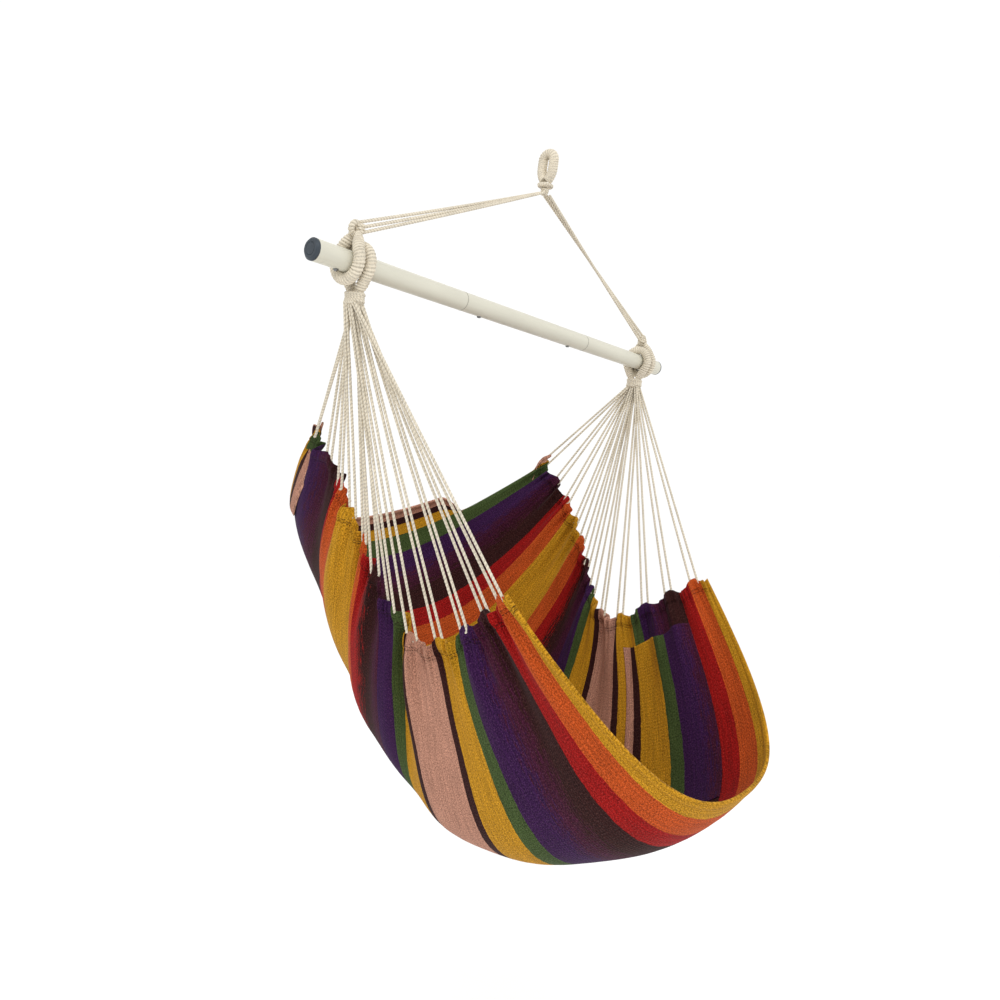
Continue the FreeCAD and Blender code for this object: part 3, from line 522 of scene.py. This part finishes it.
def outward(obj):
    """Turns every face to point out of the closed piece."""
    work = bmesh.new()
    work.from_mesh(obj.data)
    bmesh.ops.recalc_face_normals(work, faces=work.faces)
    work.to_mesh(obj.data)
    work.free()
    obj.data.update()
    return obj


# ---- materials ----------------------------------------------------------------------------------

def node(tree, kind, inputs=None, **settings):
    """Adds one node. Settings are its properties; inputs maps a socket to a value or to another's output."""
    made = tree.nodes.new(kind)
    for key, value in settings.items():
        setattr(made, key, value)
    for socket, value in (inputs or {}).items():
        if isinstance(value, bpy.types.NodeSocket):
            tree.links.new(value, made.inputs[socket])
        else:
            made.inputs[socket].default_value = value
    return made


def calc(tree, operation, *values):
    """One step of arithmetic on sockets and numbers."""
    return node(tree, "ShaderNodeMath", dict(enumerate(values)), operation=operation).outputs[0]


def remap(tree, value, low, high, start=0.0, end=1.0):
    """Carries start to end of a value over to low to high."""
    return node(tree, "ShaderNodeMapRange", {"Value": value, "From Min": start, "From Max": end,
                                             "To Min": low, "To Max": high}).outputs[0]


def object_place(tree):
    return node(tree, "ShaderNodeTexCoord").outputs["Object"]


def noise(tree, place, scale, detail, roughness=0.5, **settings):
    """Noise with about so many features to the metre."""
    return node(tree, "ShaderNodeTexNoise", {"Vector": place, "Scale": scale, "Detail": detail,
                                             "Roughness": roughness}, **settings).outputs["Fac"]


def flat_noise(tree, flat, along, across, detail, roughness=0.5):
    """Noise on the flat cloth, with its own scale along the stripes and across them."""
    place = node(tree, "ShaderNodeMapping", {"Vector": flat, "Scale": (along, across, 1.0)}).outputs[0]
    return noise(tree, place, 1.0, detail, roughness, noise_dimensions="2D")


def waves(tree, place, scale, direction, distortion, detail=2.0):
    return node(tree, "ShaderNodeTexWave", {"Vector": place, "Scale": scale, "Distortion": distortion,
                                            "Detail": detail},
                wave_type="BANDS", bands_direction=direction).outputs["Fac"]


def scaled(tree, colour, tone):
    """A colour, or a socket that gives one, times a tone."""
    return node(tree, "ShaderNodeVectorMath", {0: colour, "Scale": tone}, operation="SCALE").outputs[0]


def mixed_in(tree, share, colour, code):
    """A colour with a share of another one laid over it."""
    return node(tree, "ShaderNodeMix", {0: share, 6: colour, 7: (*linear(code), 1)},
                data_type="RGBA").outputs[2]


def bumped(tree, height, strength, distance):
    return node(tree, "ShaderNodeBump", {"Height": height, "Strength": strength,
                                         "Distance": distance}).outputs["Normal"]


def new_material(name):
    material = bpy.data.materials.new(name)
    material.use_nodes = True
    material.node_tree.nodes.clear()
    return material, material.node_tree


def surface(tree, inputs):
    """Ends a material in a principled surface with the given inputs."""
    shader = node(tree, "ShaderNodeBsdfPrincipled", inputs)
    out = tree.nodes.new("ShaderNodeOutputMaterial")
    tree.links.new(shader.outputs["BSDF"], out.inputs["Surface"])


def dyed_stripes(tree, flat, share, cloth):
    """The stripes' colours over the cloth's width. The yarns' colours change at a sharp edge, except
    where the weaver passed from brown over plum to violet by a few threads at a time."""
    blend = tree.nodes.new("ShaderNodeValToRGB")
    tree.links.new(share, blend.inputs[0])
    for low, high in BLENDED:
        for place, value in ((low - BLEND_FADE, 0), (low, 1), (high, 1), (high + BLEND_FADE, 0)):
            blend.color_ramp.elements.new(place).color = (value, value, value, 1)
    for spare in (blend.color_ramp.elements[-1], blend.color_ramp.elements[0]):
        spare.color = (0, 0, 0, 1)
    threads = flat_noise(tree, flat, 30.0, 560.0, 2.0, 0.8)
    centred = calc(tree, "MULTIPLY_ADD", threads, BLEND_REACH, -BLEND_REACH / 2)
    place = calc(tree, "MULTIPLY_ADD", centred, blend.outputs["Color"], share)
    ramp = tree.nodes.new("ShaderNodeValToRGB")
    ramp.color_ramp.interpolation = "CONSTANT"
    tree.links.new(place, ramp.inputs[0])
    stops = ramp.color_ramp.elements
    stops.remove(stops[-1])
    stops[0].color = (*getattr(cloth, STRIPES[0][0]), 1)
    for (colour, _), (_, start) in zip(STRIPES[1:], STRIPES):
        stops.new(start).color = (*getattr(cloth, colour), 1)
    return ramp.outputs["Color"]


def stitching(tree, split):
    """A share for the dark machine stitches that close the casings, two rows beside each header, else 0.
    The rows are 1.4 mm thick, drawn coarser than the 0.5 mm thread."""
    middle = calc(tree, "SUBTRACT", split.outputs["X"], FLAT_LENGTH / 2)
    out = calc(tree, "ABSOLUTE", middle)
    rows = [calc(tree, "COMPARE", out, FLAT_LENGTH / 2 - row * MM, STITCH_THICKNESS / 2 * MM)
            for row in STITCH_ROWS]
    step = calc(tree, "MODULO", split.outputs["Y"], STITCH_PITCH * MM)
    dash = calc(tree, "LESS_THAN", step, STITCH_LENGTH * MM)
    both = calc(tree, "MULTIPLY", calc(tree, "MAXIMUM", *rows), dash)
    return calc(tree, "MULTIPLY", both, 0.85)


def cotton_cloth(name, cloth):
    """Yarn-dyed plain-weave cotton: matt, a little fuzzy, with dark weft showing between the coloured
    warp, so each stripe is heathered and its edge is broken by single yarns."""
    material, tree = new_material(name)
    flat = node(tree, "ShaderNodeUVMap", uv_map="Flat").outputs["UV"]
    split = node(tree, "ShaderNodeSeparateXYZ", {0: flat})
    # Yarns wander by a millimetre or so where the cloth was beaten up on the loom.
    moved = calc(tree, "MULTIPLY_ADD", flat_noise(tree, flat, 60.0, 420.0, 1.0), 0.0022, -0.0011)
    across = calc(tree, "ADD", split.outputs["Y"], moved)
    dyed = dyed_stripes(tree, flat, calc(tree, "MULTIPLY", across, 1 / FLAT_WIDTH), cloth)
    # Heather: yarn thick and thin every few millimetres.
    speck = flat_noise(tree, flat, 330.0, 620.0, 2.0, 0.7)
    slub = flat_noise(tree, flat, 14.0, 260.0, 3.0)
    dark = remap(tree, speck, 0.42, 1.12, 0.38, 0.60)
    thread = remap(tree, slub, 0.80, 1.15, 0.3, 0.7)
    heathered = scaled(tree, dyed, calc(tree, "MULTIPLY", dark, thread))
    # Pale cotton fuzz on the crowns of the threads.
    fuzzy = mixed_in(tree, remap(tree, speck, 0.0, 0.10, 0.58, 0.75), heathered, "#B79A8E")
    stitched = mixed_in(tree, stitching(tree, split), fuzzy, "#24130F")
    # Plain weave as bump: crossing ridges of warp and weft. Real threads are 0.7 mm apart; they are
    # drawn 2 mm apart along and 1.4 mm across, so that they show.
    weft, warp = waves(tree, flat, 50.0, "X", 0.4), waves(tree, flat, 72.0, "Y", 0.4)
    relief = calc(tree, "ADD", calc(tree, "ADD", weft, warp), speck)
    surface(tree, {"Base Color": stitched, "Roughness": remap(tree, speck, 0.96, 0.80),
                   "Normal": bumped(tree, relief, 0.45, 0.0006),
                   "Sheen Weight": 0.03, "Sheen Roughness": 0.5, "Specular IOR Level": 0.10})
    return material


def cotton_rope(name, colour, yarn=0.0016):
    """Undyed cotton cord: matt creamy yarns, with painted shade that greys the grooves between them, and a
    soft fuzz.
    """
    material, tree = new_material(name)
    flat = node(tree, "ShaderNodeUVMap", uv_map="Flat").outputs["UV"]
    # Yarns cross the strand on a slant.
    slant = node(tree, "ShaderNodeMapping", {"Vector": flat, "Scale": (1.0, 0.012, 1.0),
                                             "Rotation": (0.0, 0.0, 0.6)}).outputs[0]
    yarns = waves(tree, slant, 0.1 / yarn, "X", 0.8, 1.0)
    place = object_place(tree)
    # The yarn bands set the colour as well as the bump: tone darkens the grooves between the yarns as painted
    # shade, with a little random noise.
    mixed = calc(tree, "MULTIPLY_ADD", yarns, 0.5, noise(tree, place, 420.0, 2.0))
    tone = remap(tree, mixed, 0.60, 1.05, 0.3, 0.95)
    soiled = remap(tree, noise(tree, place, 28.0, 2.0), 0.90, 1.03, 0.3, 0.7)
    surface(tree, {"Base Color": scaled(tree, tuple(colour), calc(tree, "MULTIPLY", tone, soiled)),
                   "Roughness": 0.92, "Normal": bumped(tree, mixed, 0.35, 0.0004),
                   "Sheen Weight": 0.05, "Sheen Roughness": 0.5, "Specular IOR Level": 0.15})
    return material


def powder_coat(name, colour):
    """Powder-coated steel tube: a cream satin with fine orange peel and faint rub marks."""
    material, tree = new_material(name)
    place = object_place(tree)
    drawn_out = node(tree, "ShaderNodeMapping", {"Vector": place, "Scale": (9.0, 60.0, 60.0)}).outputs[0]
    marks = noise(tree, drawn_out, 1.0, 4.0)
    surface(tree, {"Base Color": scaled(tree, tuple(colour), remap(tree, marks, 0.93, 1.02, 0.3, 0.7)),
                   "Roughness": remap(tree, marks, 0.34, 0.50), "Specular IOR Level": 0.5,
                   "Normal": bumped(tree, noise(tree, place, 380.0, 2.0), 0.12, 0.0003)})
    return material


def moulded_plastic(name, colour):
    """Moulded polyethylene: dull, with a fine spark-eroded grain and slightly paler rubbed spots."""
    material, tree = new_material(name)
    place = object_place(tree)
    grain = noise(tree, place, 1200.0, 2.0)
    tone = remap(tree, noise(tree, place, 90.0, 3.0), 0.88, 1.30, 0.35, 0.75)
    surface(tree, {"Base Color": scaled(tree, tuple(colour), tone),
                   "Roughness": remap(tree, grain, 0.46, 0.62), "Normal": bumped(tree, grain, 0.2, 0.0002)})
    return material


def plated_steel(name):
    """Zinc-plated spring steel: dull grey metal with a soft cloudiness in its gloss."""
    material, tree = new_material(name)
    cloud = noise(tree, object_place(tree), 500.0, 3.0)
    surface(tree, {"Base Color": scaled(tree, linear("#7E7F7E"), remap(tree, cloud, 0.85, 1.1)),
                   "Metallic": 1.0, "Roughness": remap(tree, cloud, 0.22, 0.42)})
    return material


# ---- pieces -------------------------------------------------------------------------------------

class HAMMOCK_OT_sling(bpy.types.Operator):
    """Builds the striped cloth, its headers, hems, stitching and pocket"""
    bl_idname = "hammock.sling"
    bl_label = "Sling"

    def execute(self, context):
        cloth = context.scene.hammock_cloth
        stripes = cotton_cloth("striped plain-weave cotton", cloth)
        t = cloth.thickness / 2
        # Columns crowd towards the headers, where the pleats are fine. The cloth ends inside its casings.
        share = np.linspace(-1, 1, CLOTH_COLUMNS)
        u = np.sign(share) * (1 - (1 - np.abs(share)) ** 1.55) * 0.985
        v = np.linspace(0.006, 0.992, CLOTH_ROWS)
        points, normal = cloth_at(u[None, :], v, cloth)
        main = outward(slab("sling_cloth", points, normal, -t, t, flat_uv(u[None, :], v)))
        finish_piece(main, stripes, "sling", ("sling",))

        along = np.linspace(-1, 1, 361)
        still = np.ones_like(along)
        for name, centre, half in HEMS:
            hem = rolled(name + "_roll", along, still * centre, still * 0, still * half,
                         still * HEM_HEIGHT * MM, cloth)
            finish_piece(outward(hem), stripes, "sling", (name,))
        down = np.linspace(0.002, 0.998, HEADER_ROWS)
        still = np.ones_like(down)
        depth = HEADER_DEPTH * MM / (FLAT_LENGTH / 2)
        crimp = CASING_HEIGHT + CASING_CRIMP * np.sin(2 * math.pi * 62 * down + 1.5 * np.sin(19 * down))
        sag, _ = between_gathers(down)
        height = (crimp + CASING_SWELL * (1 - sag) ** 2) * MM
        for name, side in SIDES:
            header = rolled(f"header_{name}_casing", still * side * (1 - depth / 2), down,
                            still * depth / 2, still * 0, height, cloth)
            finish_piece(outward(header), stripes, "sling", (f"header_{name}",))

        u0, u1, v0, v1 = POCKET
        pu, pv = np.linspace(u0, u1, POCKET_ROWS), np.linspace(v0, v1, POCKET_ROWS)
        points, normal = cloth_at(pu[None, :], pv, cloth)
        near_mouth = np.clip((pu[None, :] - u0) / (u1 - u0), 0, 1) ** 3
        gape = POCKET_GAP + POCKET_GAPE * near_mouth * np.sin(math.pi * (pv[:, None] - v0) / (v1 - v0))
        points = points + normal * (gape * MM)[..., None]
        low, high = POCKET_FACES
        pocket = outward(slab("pocket_patch", points, normal, low * MM, high * MM,
                              flat_uv(pu[None, :], pv, POCKET_STRIPE_SHIFT)))
        finish_piece(pocket, stripes, "sling", ("pocket",))
        return {"FINISHED"}


def laid_cord(name, body, route, diameter, lay, cotton):
    """A laid cord along a route's corners in millimetres. It ends in the object at both ends."""
    path = even(spline_path(route * MM), ROPE_STEP)
    cord = outward(rope_mesh(f"{name}_laid", path, laid(diameter / 2, lay), around=12))
    finish_piece(cord, cotton, body, (name,))


class HAMMOCK_OT_fans(bpy.types.Operator):
    """Builds the two fans of doubled cord between the collars and the headers"""
    bl_idname = "hammock.fans"
    bl_label = "Fan cords"

    def execute(self, context):
        rope = context.scene.hammock_rope
        cotton = cotton_rope("laid cotton cord", rope.cotton)
        cloth = context.scene.hammock_cloth
        for name, side in SIDES:
            depths = side * (1 - np.array([0.0, FAN_SEAT, FAN_SEAT + FAN_BIGHT]) * MM * 2 / FLAT_LENGTH)
            seats = cloth_at(depths[None, :], GATHERS, cloth)[0] / MM
            ahead = cloth_at(depths[None, :], GATHERS + 0.004, cloth)[0] / MM
            for pair in range(PAIRS):
                row, column = 2 * (pair // COLUMNS), COLUMN_ORDER[pair // COLUMNS][pair % COLUMNS]
                route = self.route(side, row, column, seats[pair], ahead[pair, 1] - seats[pair, 1])
                laid_cord(f"fan_cord_{name}_{pair + 1:02d}", "sling", route, rope.fan_cord, rope.lay, cotton)
        return {"FINISHED"}

    def route(self, side, row, column, seats, along_header):
        """Corners of one cord's way, in millimetres: out of the collar, to where it touches the turn in
        the casing, round the turn's two corners, and back up to the collar. seats are three places on the
        cloth: its edge, the turn's centre and the turn's far side."""
        rows = 2 * PAIRS / COLUMNS
        foot = np.array([side * FAN_X, 0, -BAR_DROP - BINDING_DROP - WHIPPING_HEIGHT])
        out = side * (column - (COLUMNS - 1) / 2) * FAN_PITCH
        starts = foot + GATHERED * np.array([(out, (row + k - (rows - 1) / 2) * FAN_PITCH, 0)
                                             for k in (1, 0)])
        down = (seats[2] - seats[0]) / np.linalg.norm(seats[2] - seats[0])
        spread = along_header - down * (along_header @ down)
        spread = spread / np.linalg.norm(spread) * FAN_BIGHT
        turn, bottom = seats[0] + down * FAN_SEAT, seats[0] + down * (FAN_SEAT + FAN_BIGHT)
        runs = [starts[0] - (turn + spread), starts[1] - (turn - spread)]
        ups = [run / np.linalg.norm(run) for run in runs]
        return np.array([starts[0] + ups[0] * FAN_EMBED, turn + spread, bottom + spread,
                         bottom - spread, turn - spread, starts[1] + ups[1] * FAN_EMBED])


class HAMMOCK_OT_suspension(bpy.types.Operator):
    """Builds the suspension cords with their eyes, and the wound loops round the bar"""
    bl_idname = "hammock.suspension"
    bl_label = "Suspension and loops"

    def execute(self, context):
        rope = context.scene.hammock_rope
        cotton = cotton_rope("laid cotton cord of the suspension", rope.cotton)
        wound = cotton_rope("cotton twine served round rope", rope.cotton, SERVED_YARN)
        for name, side in SIDES:
            self.cords(name, side, rope, cotton)
            for kind, x, direction, body in (("fan_loop", FAN_X, -1, "sling"),
                                             ("suspension_loop", SUSPENSION_X, 1, "suspension")):
                path = even(self.loop_path(direction), SERVED_STEP)
                if body == "suspension":
                    lean = np.clip(path[:, 2] / MM / BINDING_DROP, 0, 1) ** 2
                    path[:, 0] -= side * (SUSPENSION_X - KNOT_X) * MM * lean
                path = path + np.array([side * x, 0, -BAR_DROP]) * MM
                wind = narrowed(served(LOOP_STRAND / 2 * MM, rope.twine), len(path) * SERVED_STEP,
                                0.016, 0.55)
                loop = rope_mesh(f"{kind}_{name}_served", path, wind, around=36)
                finish_piece(outward(loop), wound, body, (f"{kind}_{name}",))
            self.knot(name, side, rope, wound)
            self.collar(name, side, rope, wound)
        return {"FINISHED"}

    def cords(self, name, side, rope, cotton):
        """Three runs from the throat, where they lie side by side, to the knot, where they come one above
        the other. The middle of each sags by a hair."""
        apex = np.array([0, 0, THROAT_CENTRE])
        knot = np.array([side * KNOT_X, 0, KNOT_RISE - BAR_DROP])
        along = (knot - apex) / np.linalg.norm(knot - apex)
        upward = np.cross(along, (0, side, 0))
        start = apex + along * (THROAT_BALL + SUSPENSION_CORD / 2)
        end = knot - along * (KNOT_RADIUS - KNOT_EMBED)
        for strand in range(STRANDS):
            offset = (strand - (STRANDS - 1) / 2) * SUSPENSION_PITCH
            first, last = start + np.array([0, offset * 0.8, 0]), end + upward * offset
            sag = np.array([0, 0, -2.5 - 1.5 * (strand % 2)])
            route = np.array([first, (first + last) / 2 + sag, last])
            laid_cord(f"suspension_cord_{name}_{strand + 1}", "suspension", route, rope.suspension_cord,
                      rope.lay * 1.1, cotton)

    def loop_path(self, direction):
        """The loop's line in its own plane: a round part over the bar and two straight legs that touch it
        and come together at the binding. direction is -1 when the legs hang and 1 when they stand up."""
        radius = BAR_RADIUS + LOOP_STRAND / 2 + LOOP_SLACK
        end = np.array([LEG_SPREAD / 2, BINDING_DROP + 4])
        touch = math.atan2(end[1], end[0]) - math.acos(radius / np.linalg.norm(end))
        angle = np.linspace(touch, -math.pi - touch, 90)
        arc = np.stack([np.cos(angle), np.sin(angle)], -1) * radius
        leg = np.linspace(end, arc[0], 24)[:-1]
        line = np.concatenate([leg, arc, (leg * (-1, 1))[::-1]])
        return np.stack([0 * line[:, 0], line[:, 0], line[:, 1] * direction], -1) * MM

    def knot(self, name, side, rope, wound):
        """The eye on top of the suspension loop: a small served ring round the bar's square direction, and
        the turns of the cords that pass through it, in an upright helix."""
        centre = np.array([side * KNOT_X, 0, KNOT_RISE - BAR_DROP])
        angle = np.linspace(0, 2 * math.pi, 161)[:-1]
        ring = centre + np.stack([RING_RADIUS * np.cos(angle), RING_WAVE * np.sin(2 * angle),
                                  RING_RADIUS * np.sin(angle)], -1)
        twine = 2 * math.pi * RING_RADIUS / RING_TURNS * MM
        eye = rope_mesh(f"suspension_knot_{name}_eye", ring * MM, served(RING_ROPE * MM, twine), around=22,
                        closed=True)
        finish_piece(outward(eye), wound, "suspension", (f"suspension_knot_{name}",))
        steps = np.linspace(0, 2 * math.pi * HITCH_TURNS, 260)
        around = centre + np.stack([-side * (HITCH_OUT + HITCH_LENGTH * np.cos(steps)),
                                    HITCH_DEPTH * np.sin(steps),
                                    (steps / (2 * math.pi) - HITCH_TURNS / 2) * HITCH_PITCH], -1)
        hitch = rope_mesh(f"suspension_knot_{name}_hitch", around * MM,
                          laid(rope.suspension_cord / 2, rope.lay), around=12)
        finish_piece(outward(hitch), wound, "suspension")

    def collar(self, name, side, rope, wound):
        """The bound collar: one cord wound in an oval helix from top to foot, round a core. Both narrow in
        the middle by a sine."""
        x, top = side * FAN_X, -BAR_DROP - BINDING_DROP
        inset_x, inset_y, inset_z = COLLAR_INSET
        a, b = WHIPPING_WIDTH / 2 - COLLAR_CORD - inset_x, WHIPPING_DEPTH / 2 - COLLAR_CORD - inset_y
        fall = np.linspace(0, 1, 620)
        angle = fall * 2 * math.pi * COLLAR_TURNS
        waist = 1 - COLLAR_WAIST * np.sin(math.pi * fall)
        line = np.stack([x + a * waist * np.cos(angle), b * waist * np.sin(angle), top - COLLAR_CORD - inset_z
                         - fall * (WHIPPING_HEIGHT - 2 * COLLAR_CORD - 2 * inset_z)], -1)
        cord = rope_mesh(f"fan_whipping_{name}_turns", even(line * MM, COLLAR_STEP),
                         laid(COLLAR_CORD * MM * 1.08, rope.lay * 0.6), around=14)
        finish_piece(outward(cord), wound, "sling", (f"fan_whipping_{name}",))
        levels = np.linspace(0, 1, 14)
        size = (1 - COLLAR_WAIST * np.sin(math.pi * levels)) * blunted(levels, 0.86, 2)
        block = core(f"fan_whipping_{name}_core", x, size[:, None] * (a, b), top, top - WHIPPING_HEIGHT,
                     0.6, 40)
        finish_piece(block, wound, "sling")


class HAMMOCK_OT_hanger(bpy.types.Operator):
    """Builds the served hanging loop, its binding and the rope throat below it"""
    bl_idname = "hammock.hanger"
    bl_label = "Hanging loop"

    def execute(self, context):
        rope = context.scene.hammock_rope
        wound = cotton_rope("cotton twine served round the hanging loop", rope.cotton, SERVED_YARN)
        middle = (EYE_GAP + EYE_STRAND) / 2
        top, foot = -EYE_GAP / 2, -EYE_GAP / 2 - EYE_STRAIGHT
        bend = np.linspace(-math.pi / 4, 0, 30)
        tail = np.stack([middle - EYE_TAIL + EYE_TAIL * np.cos(bend), foot + EYE_TAIL * np.sin(bend)], -1)
        arch = np.linspace(0, math.pi, 60)
        crown = np.stack([middle * np.cos(arch), top + middle * np.sin(arch)], -1)
        half = np.concatenate([tail, crown])
        line = np.concatenate([half, (tail * (-1, 1))[::-1]])
        path = even(np.stack([0 * line[:, 0], line[:, 0], line[:, 1]], -1) * MM, EYE_STEP)
        loop = rope_mesh("hanging_loop_served", path, served(EYE_STRAND / 2 * MM, rope.twine * 0.84),
                         around=36)
        finish_piece(outward(loop), wound, "hanging_loop", ("hanging_loop",))

        for name, high, low, wide, turns, thick, narrow, power in BINDINGS:
            fall = np.linspace(0, 1, 400)
            angle = fall * turns * 2 * math.pi
            reach = (wide - thick) * (1 - narrow * fall ** power)
            turn = np.stack([reach * np.cos(angle), reach * np.sin(angle),
                             high - thick - fall * (high - low - 2 * thick)], -1)
            cord = rope_mesh(f"{name}_turns", even(turn * MM, BINDING_STEP), laid(thick * MM, rope.lay * 0.5),
                             around=12)
            finish_piece(outward(cord), wound, name, (name,))
            levels = np.linspace(0, 1, 10)
            size = (wide - thick) * (1 - narrow * levels ** power) * blunted(levels, 0.7, 3)
            block = core(f"{name}_core", 0, np.stack([size, size], -1), high, low, 0.4, 36)
            finish_piece(block, wound, name)
        return {"FINISHED"}


class HAMMOCK_OT_bar(bpy.types.Operator):
    """Paints the bar's sections, caps, pins and buttons, and draws the seams between the sections"""
    bl_idname = "hammock.bar"
    bl_label = "Spreader bar"

    def execute(self, context):
        bar = context.scene.hammock_bar
        paints = {
            "painted_tube": (powder_coat("cream powder coat on steel tube", bar.paint),
                             ("bar_left", "bar_middle", "bar_right")),
            "cap_plastic": (moulded_plastic("moulded polyethylene cap", bar.cap),
                            ("end_cap_left", "end_cap_right")),
            "spring_steel": (plated_steel("zinc-plated spring steel"),
                             ("snap_spring_left", "snap_spring_right", "snap_button_left",
                              "snap_button_right", "stop_pin_left", "stop_pin_right")),
        }
        for material, names in paints.values():
            for name in names:
                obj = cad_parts[name]
                obj.data.materials.clear()
                obj.data.materials.append(material)
        dark = moulded_plastic("shadowed gap between painted tubes", linear("#8C887B"))
        for name, side in SIDES:
            half = bar.seam / 2
            along = np.array([-half, -half, half, half])
            reach = (BAR_RADIUS + np.array([-SEAM_DEPTH, SEAM_RISE, SEAM_RISE, -SEAM_DEPTH]))[:, None] * MM
            angle = np.linspace(0, 2 * math.pi, 96, endpoint=False)
            points = np.stack(np.broadcast_arrays((side * SEAM_X * MM + along)[:, None],
                                                  reach * np.cos(angle),
                                                  reach * np.sin(angle) - BAR_DROP * MM), -1)
            ring = mesh_piece(f"bar_seam_{name}", points, [quads(4, 96, wrap_rows=True, wrap_columns=True)])
            finish_piece(outward(ring), dark, "bar")
        return {"FINISHED"}


class HAMMOCK_OT_stage(bpy.types.Operator):
    """Sets up the camera, the pale floor and the studio light"""
    bl_idname = "hammock.stage"
    bl_label = "Stage"

    def execute(self, context):
        stage = context.scene.hammock_stage
        scene = context.scene
        azimuth, elevation, roll = stage.turn
        back = Vector((math.sin(azimuth) * math.cos(elevation), -math.cos(azimuth) * math.cos(elevation),
                       math.sin(elevation)))
        right = Vector((math.cos(azimuth), math.sin(azimuth), 0))
        up = back.cross(right)
        tilted_right = right * math.cos(roll) + up * math.sin(roll)
        tilted_up = up * math.cos(roll) - right * math.sin(roll)
        lens = bpy.data.cameras.new("camera")
        lens.lens, lens.sensor_width = stage.lens, 36
        camera = bpy.data.objects.new("camera", lens)
        scene.collection.objects.link(camera)
        turn = Matrix((tilted_right, tilted_up, back)).transposed().to_4x4()
        camera.matrix_world = Matrix.Translation(stage.distance) @ turn
        scene.camera = camera

        material, tree = new_material("pale matt studio floor")
        tone = remap(tree, noise(tree, object_place(tree), 6.0, 2.0), *FLOOR_TONES)
        grey = node(tree, "ShaderNodeCombineColor", {0: tone, 1: tone, 2: tone}).outputs[0]
        surface(tree, {"Base Color": grey, "Roughness": 0.9})
        size, height = FLOOR_REACH, FLOOR_HEIGHT
        corners = [(-size, -size, height), (size, -size, height), (size, size, height), (-size, size, height)]
        floor = mesh_piece("floor", corners, [np.array([[0, 1, 2, 3]])], smooth=False)
        floor.data.materials.append(material)

        world = bpy.data.worlds.new("studio")
        scene.world = world
        world.use_nodes = True
        world.node_tree.nodes["Background"].inputs["Color"].default_value = (1, 1, 1, 1)
        world.node_tree.nodes["Background"].inputs["Strength"].default_value = stage.light
        for name, place, size, power in LAMPS:
            lamp = bpy.data.lights.new(name, "AREA")
            lamp.size, lamp.energy = size, power
            light = bpy.data.objects.new(name, lamp)
            scene.collection.objects.link(light)
            light.location = place
            aim = Vector(LAMP_TARGET) - Vector(place)
            light.rotation_euler = aim.to_track_quat("-Z", "Y").to_euler()
        scene.view_settings.view_transform = "Standard"
        return {"FINISHED"}


class HAMMOCK_PT_panel(bpy.types.Panel):
    """Lists the chair's settings and its pieces"""
    bl_idname = "HAMMOCK_PT_panel"
    bl_label = "Hammock chair"
    bl_space_type = "VIEW_3D"
    bl_region_type = "UI"
    bl_category = "Hammock chair"

    def draw(self, context):
        scene = context.scene
        for group in (scene.hammock_cloth, scene.hammock_rope, scene.hammock_bar, scene.hammock_stage):
            box = self.layout.box()
            for name in group.__annotations__:
                box.prop(group, name)
        for operator in OPERATORS:
            self.layout.operator(operator.bl_idname)


SETTINGS = (("hammock_cloth", ClothSettings), ("hammock_rope", RopeSettings), ("hammock_bar", BarSettings),
            ("hammock_stage", StageSettings))
OPERATORS = (HAMMOCK_OT_stage, HAMMOCK_OT_fans, HAMMOCK_OT_suspension, HAMMOCK_OT_hanger, HAMMOCK_OT_bar,
             HAMMOCK_OT_sling)


def register():
    for name, group in SETTINGS:
        bpy.utils.register_class(group)
        setattr(bpy.types.Scene, name, PointerProperty(type=group))
    for cls in (*OPERATORS, HAMMOCK_PT_panel):
        bpy.utils.register_class(cls)


def unregister():
    for cls in (HAMMOCK_PT_panel, *reversed(OPERATORS)):
        bpy.utils.unregister_class(cls)
    for name, group in reversed(SETTINGS):
        delattr(bpy.types.Scene, name)
        bpy.utils.unregister_class(group)


def main():
    """Builds every piece in order."""
    register()
    for operator in OPERATORS:
        group, name = operator.bl_idname.split(".")
        getattr(getattr(bpy.ops, group), name)()
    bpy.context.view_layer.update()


if __name__ == "__main__":
    main()
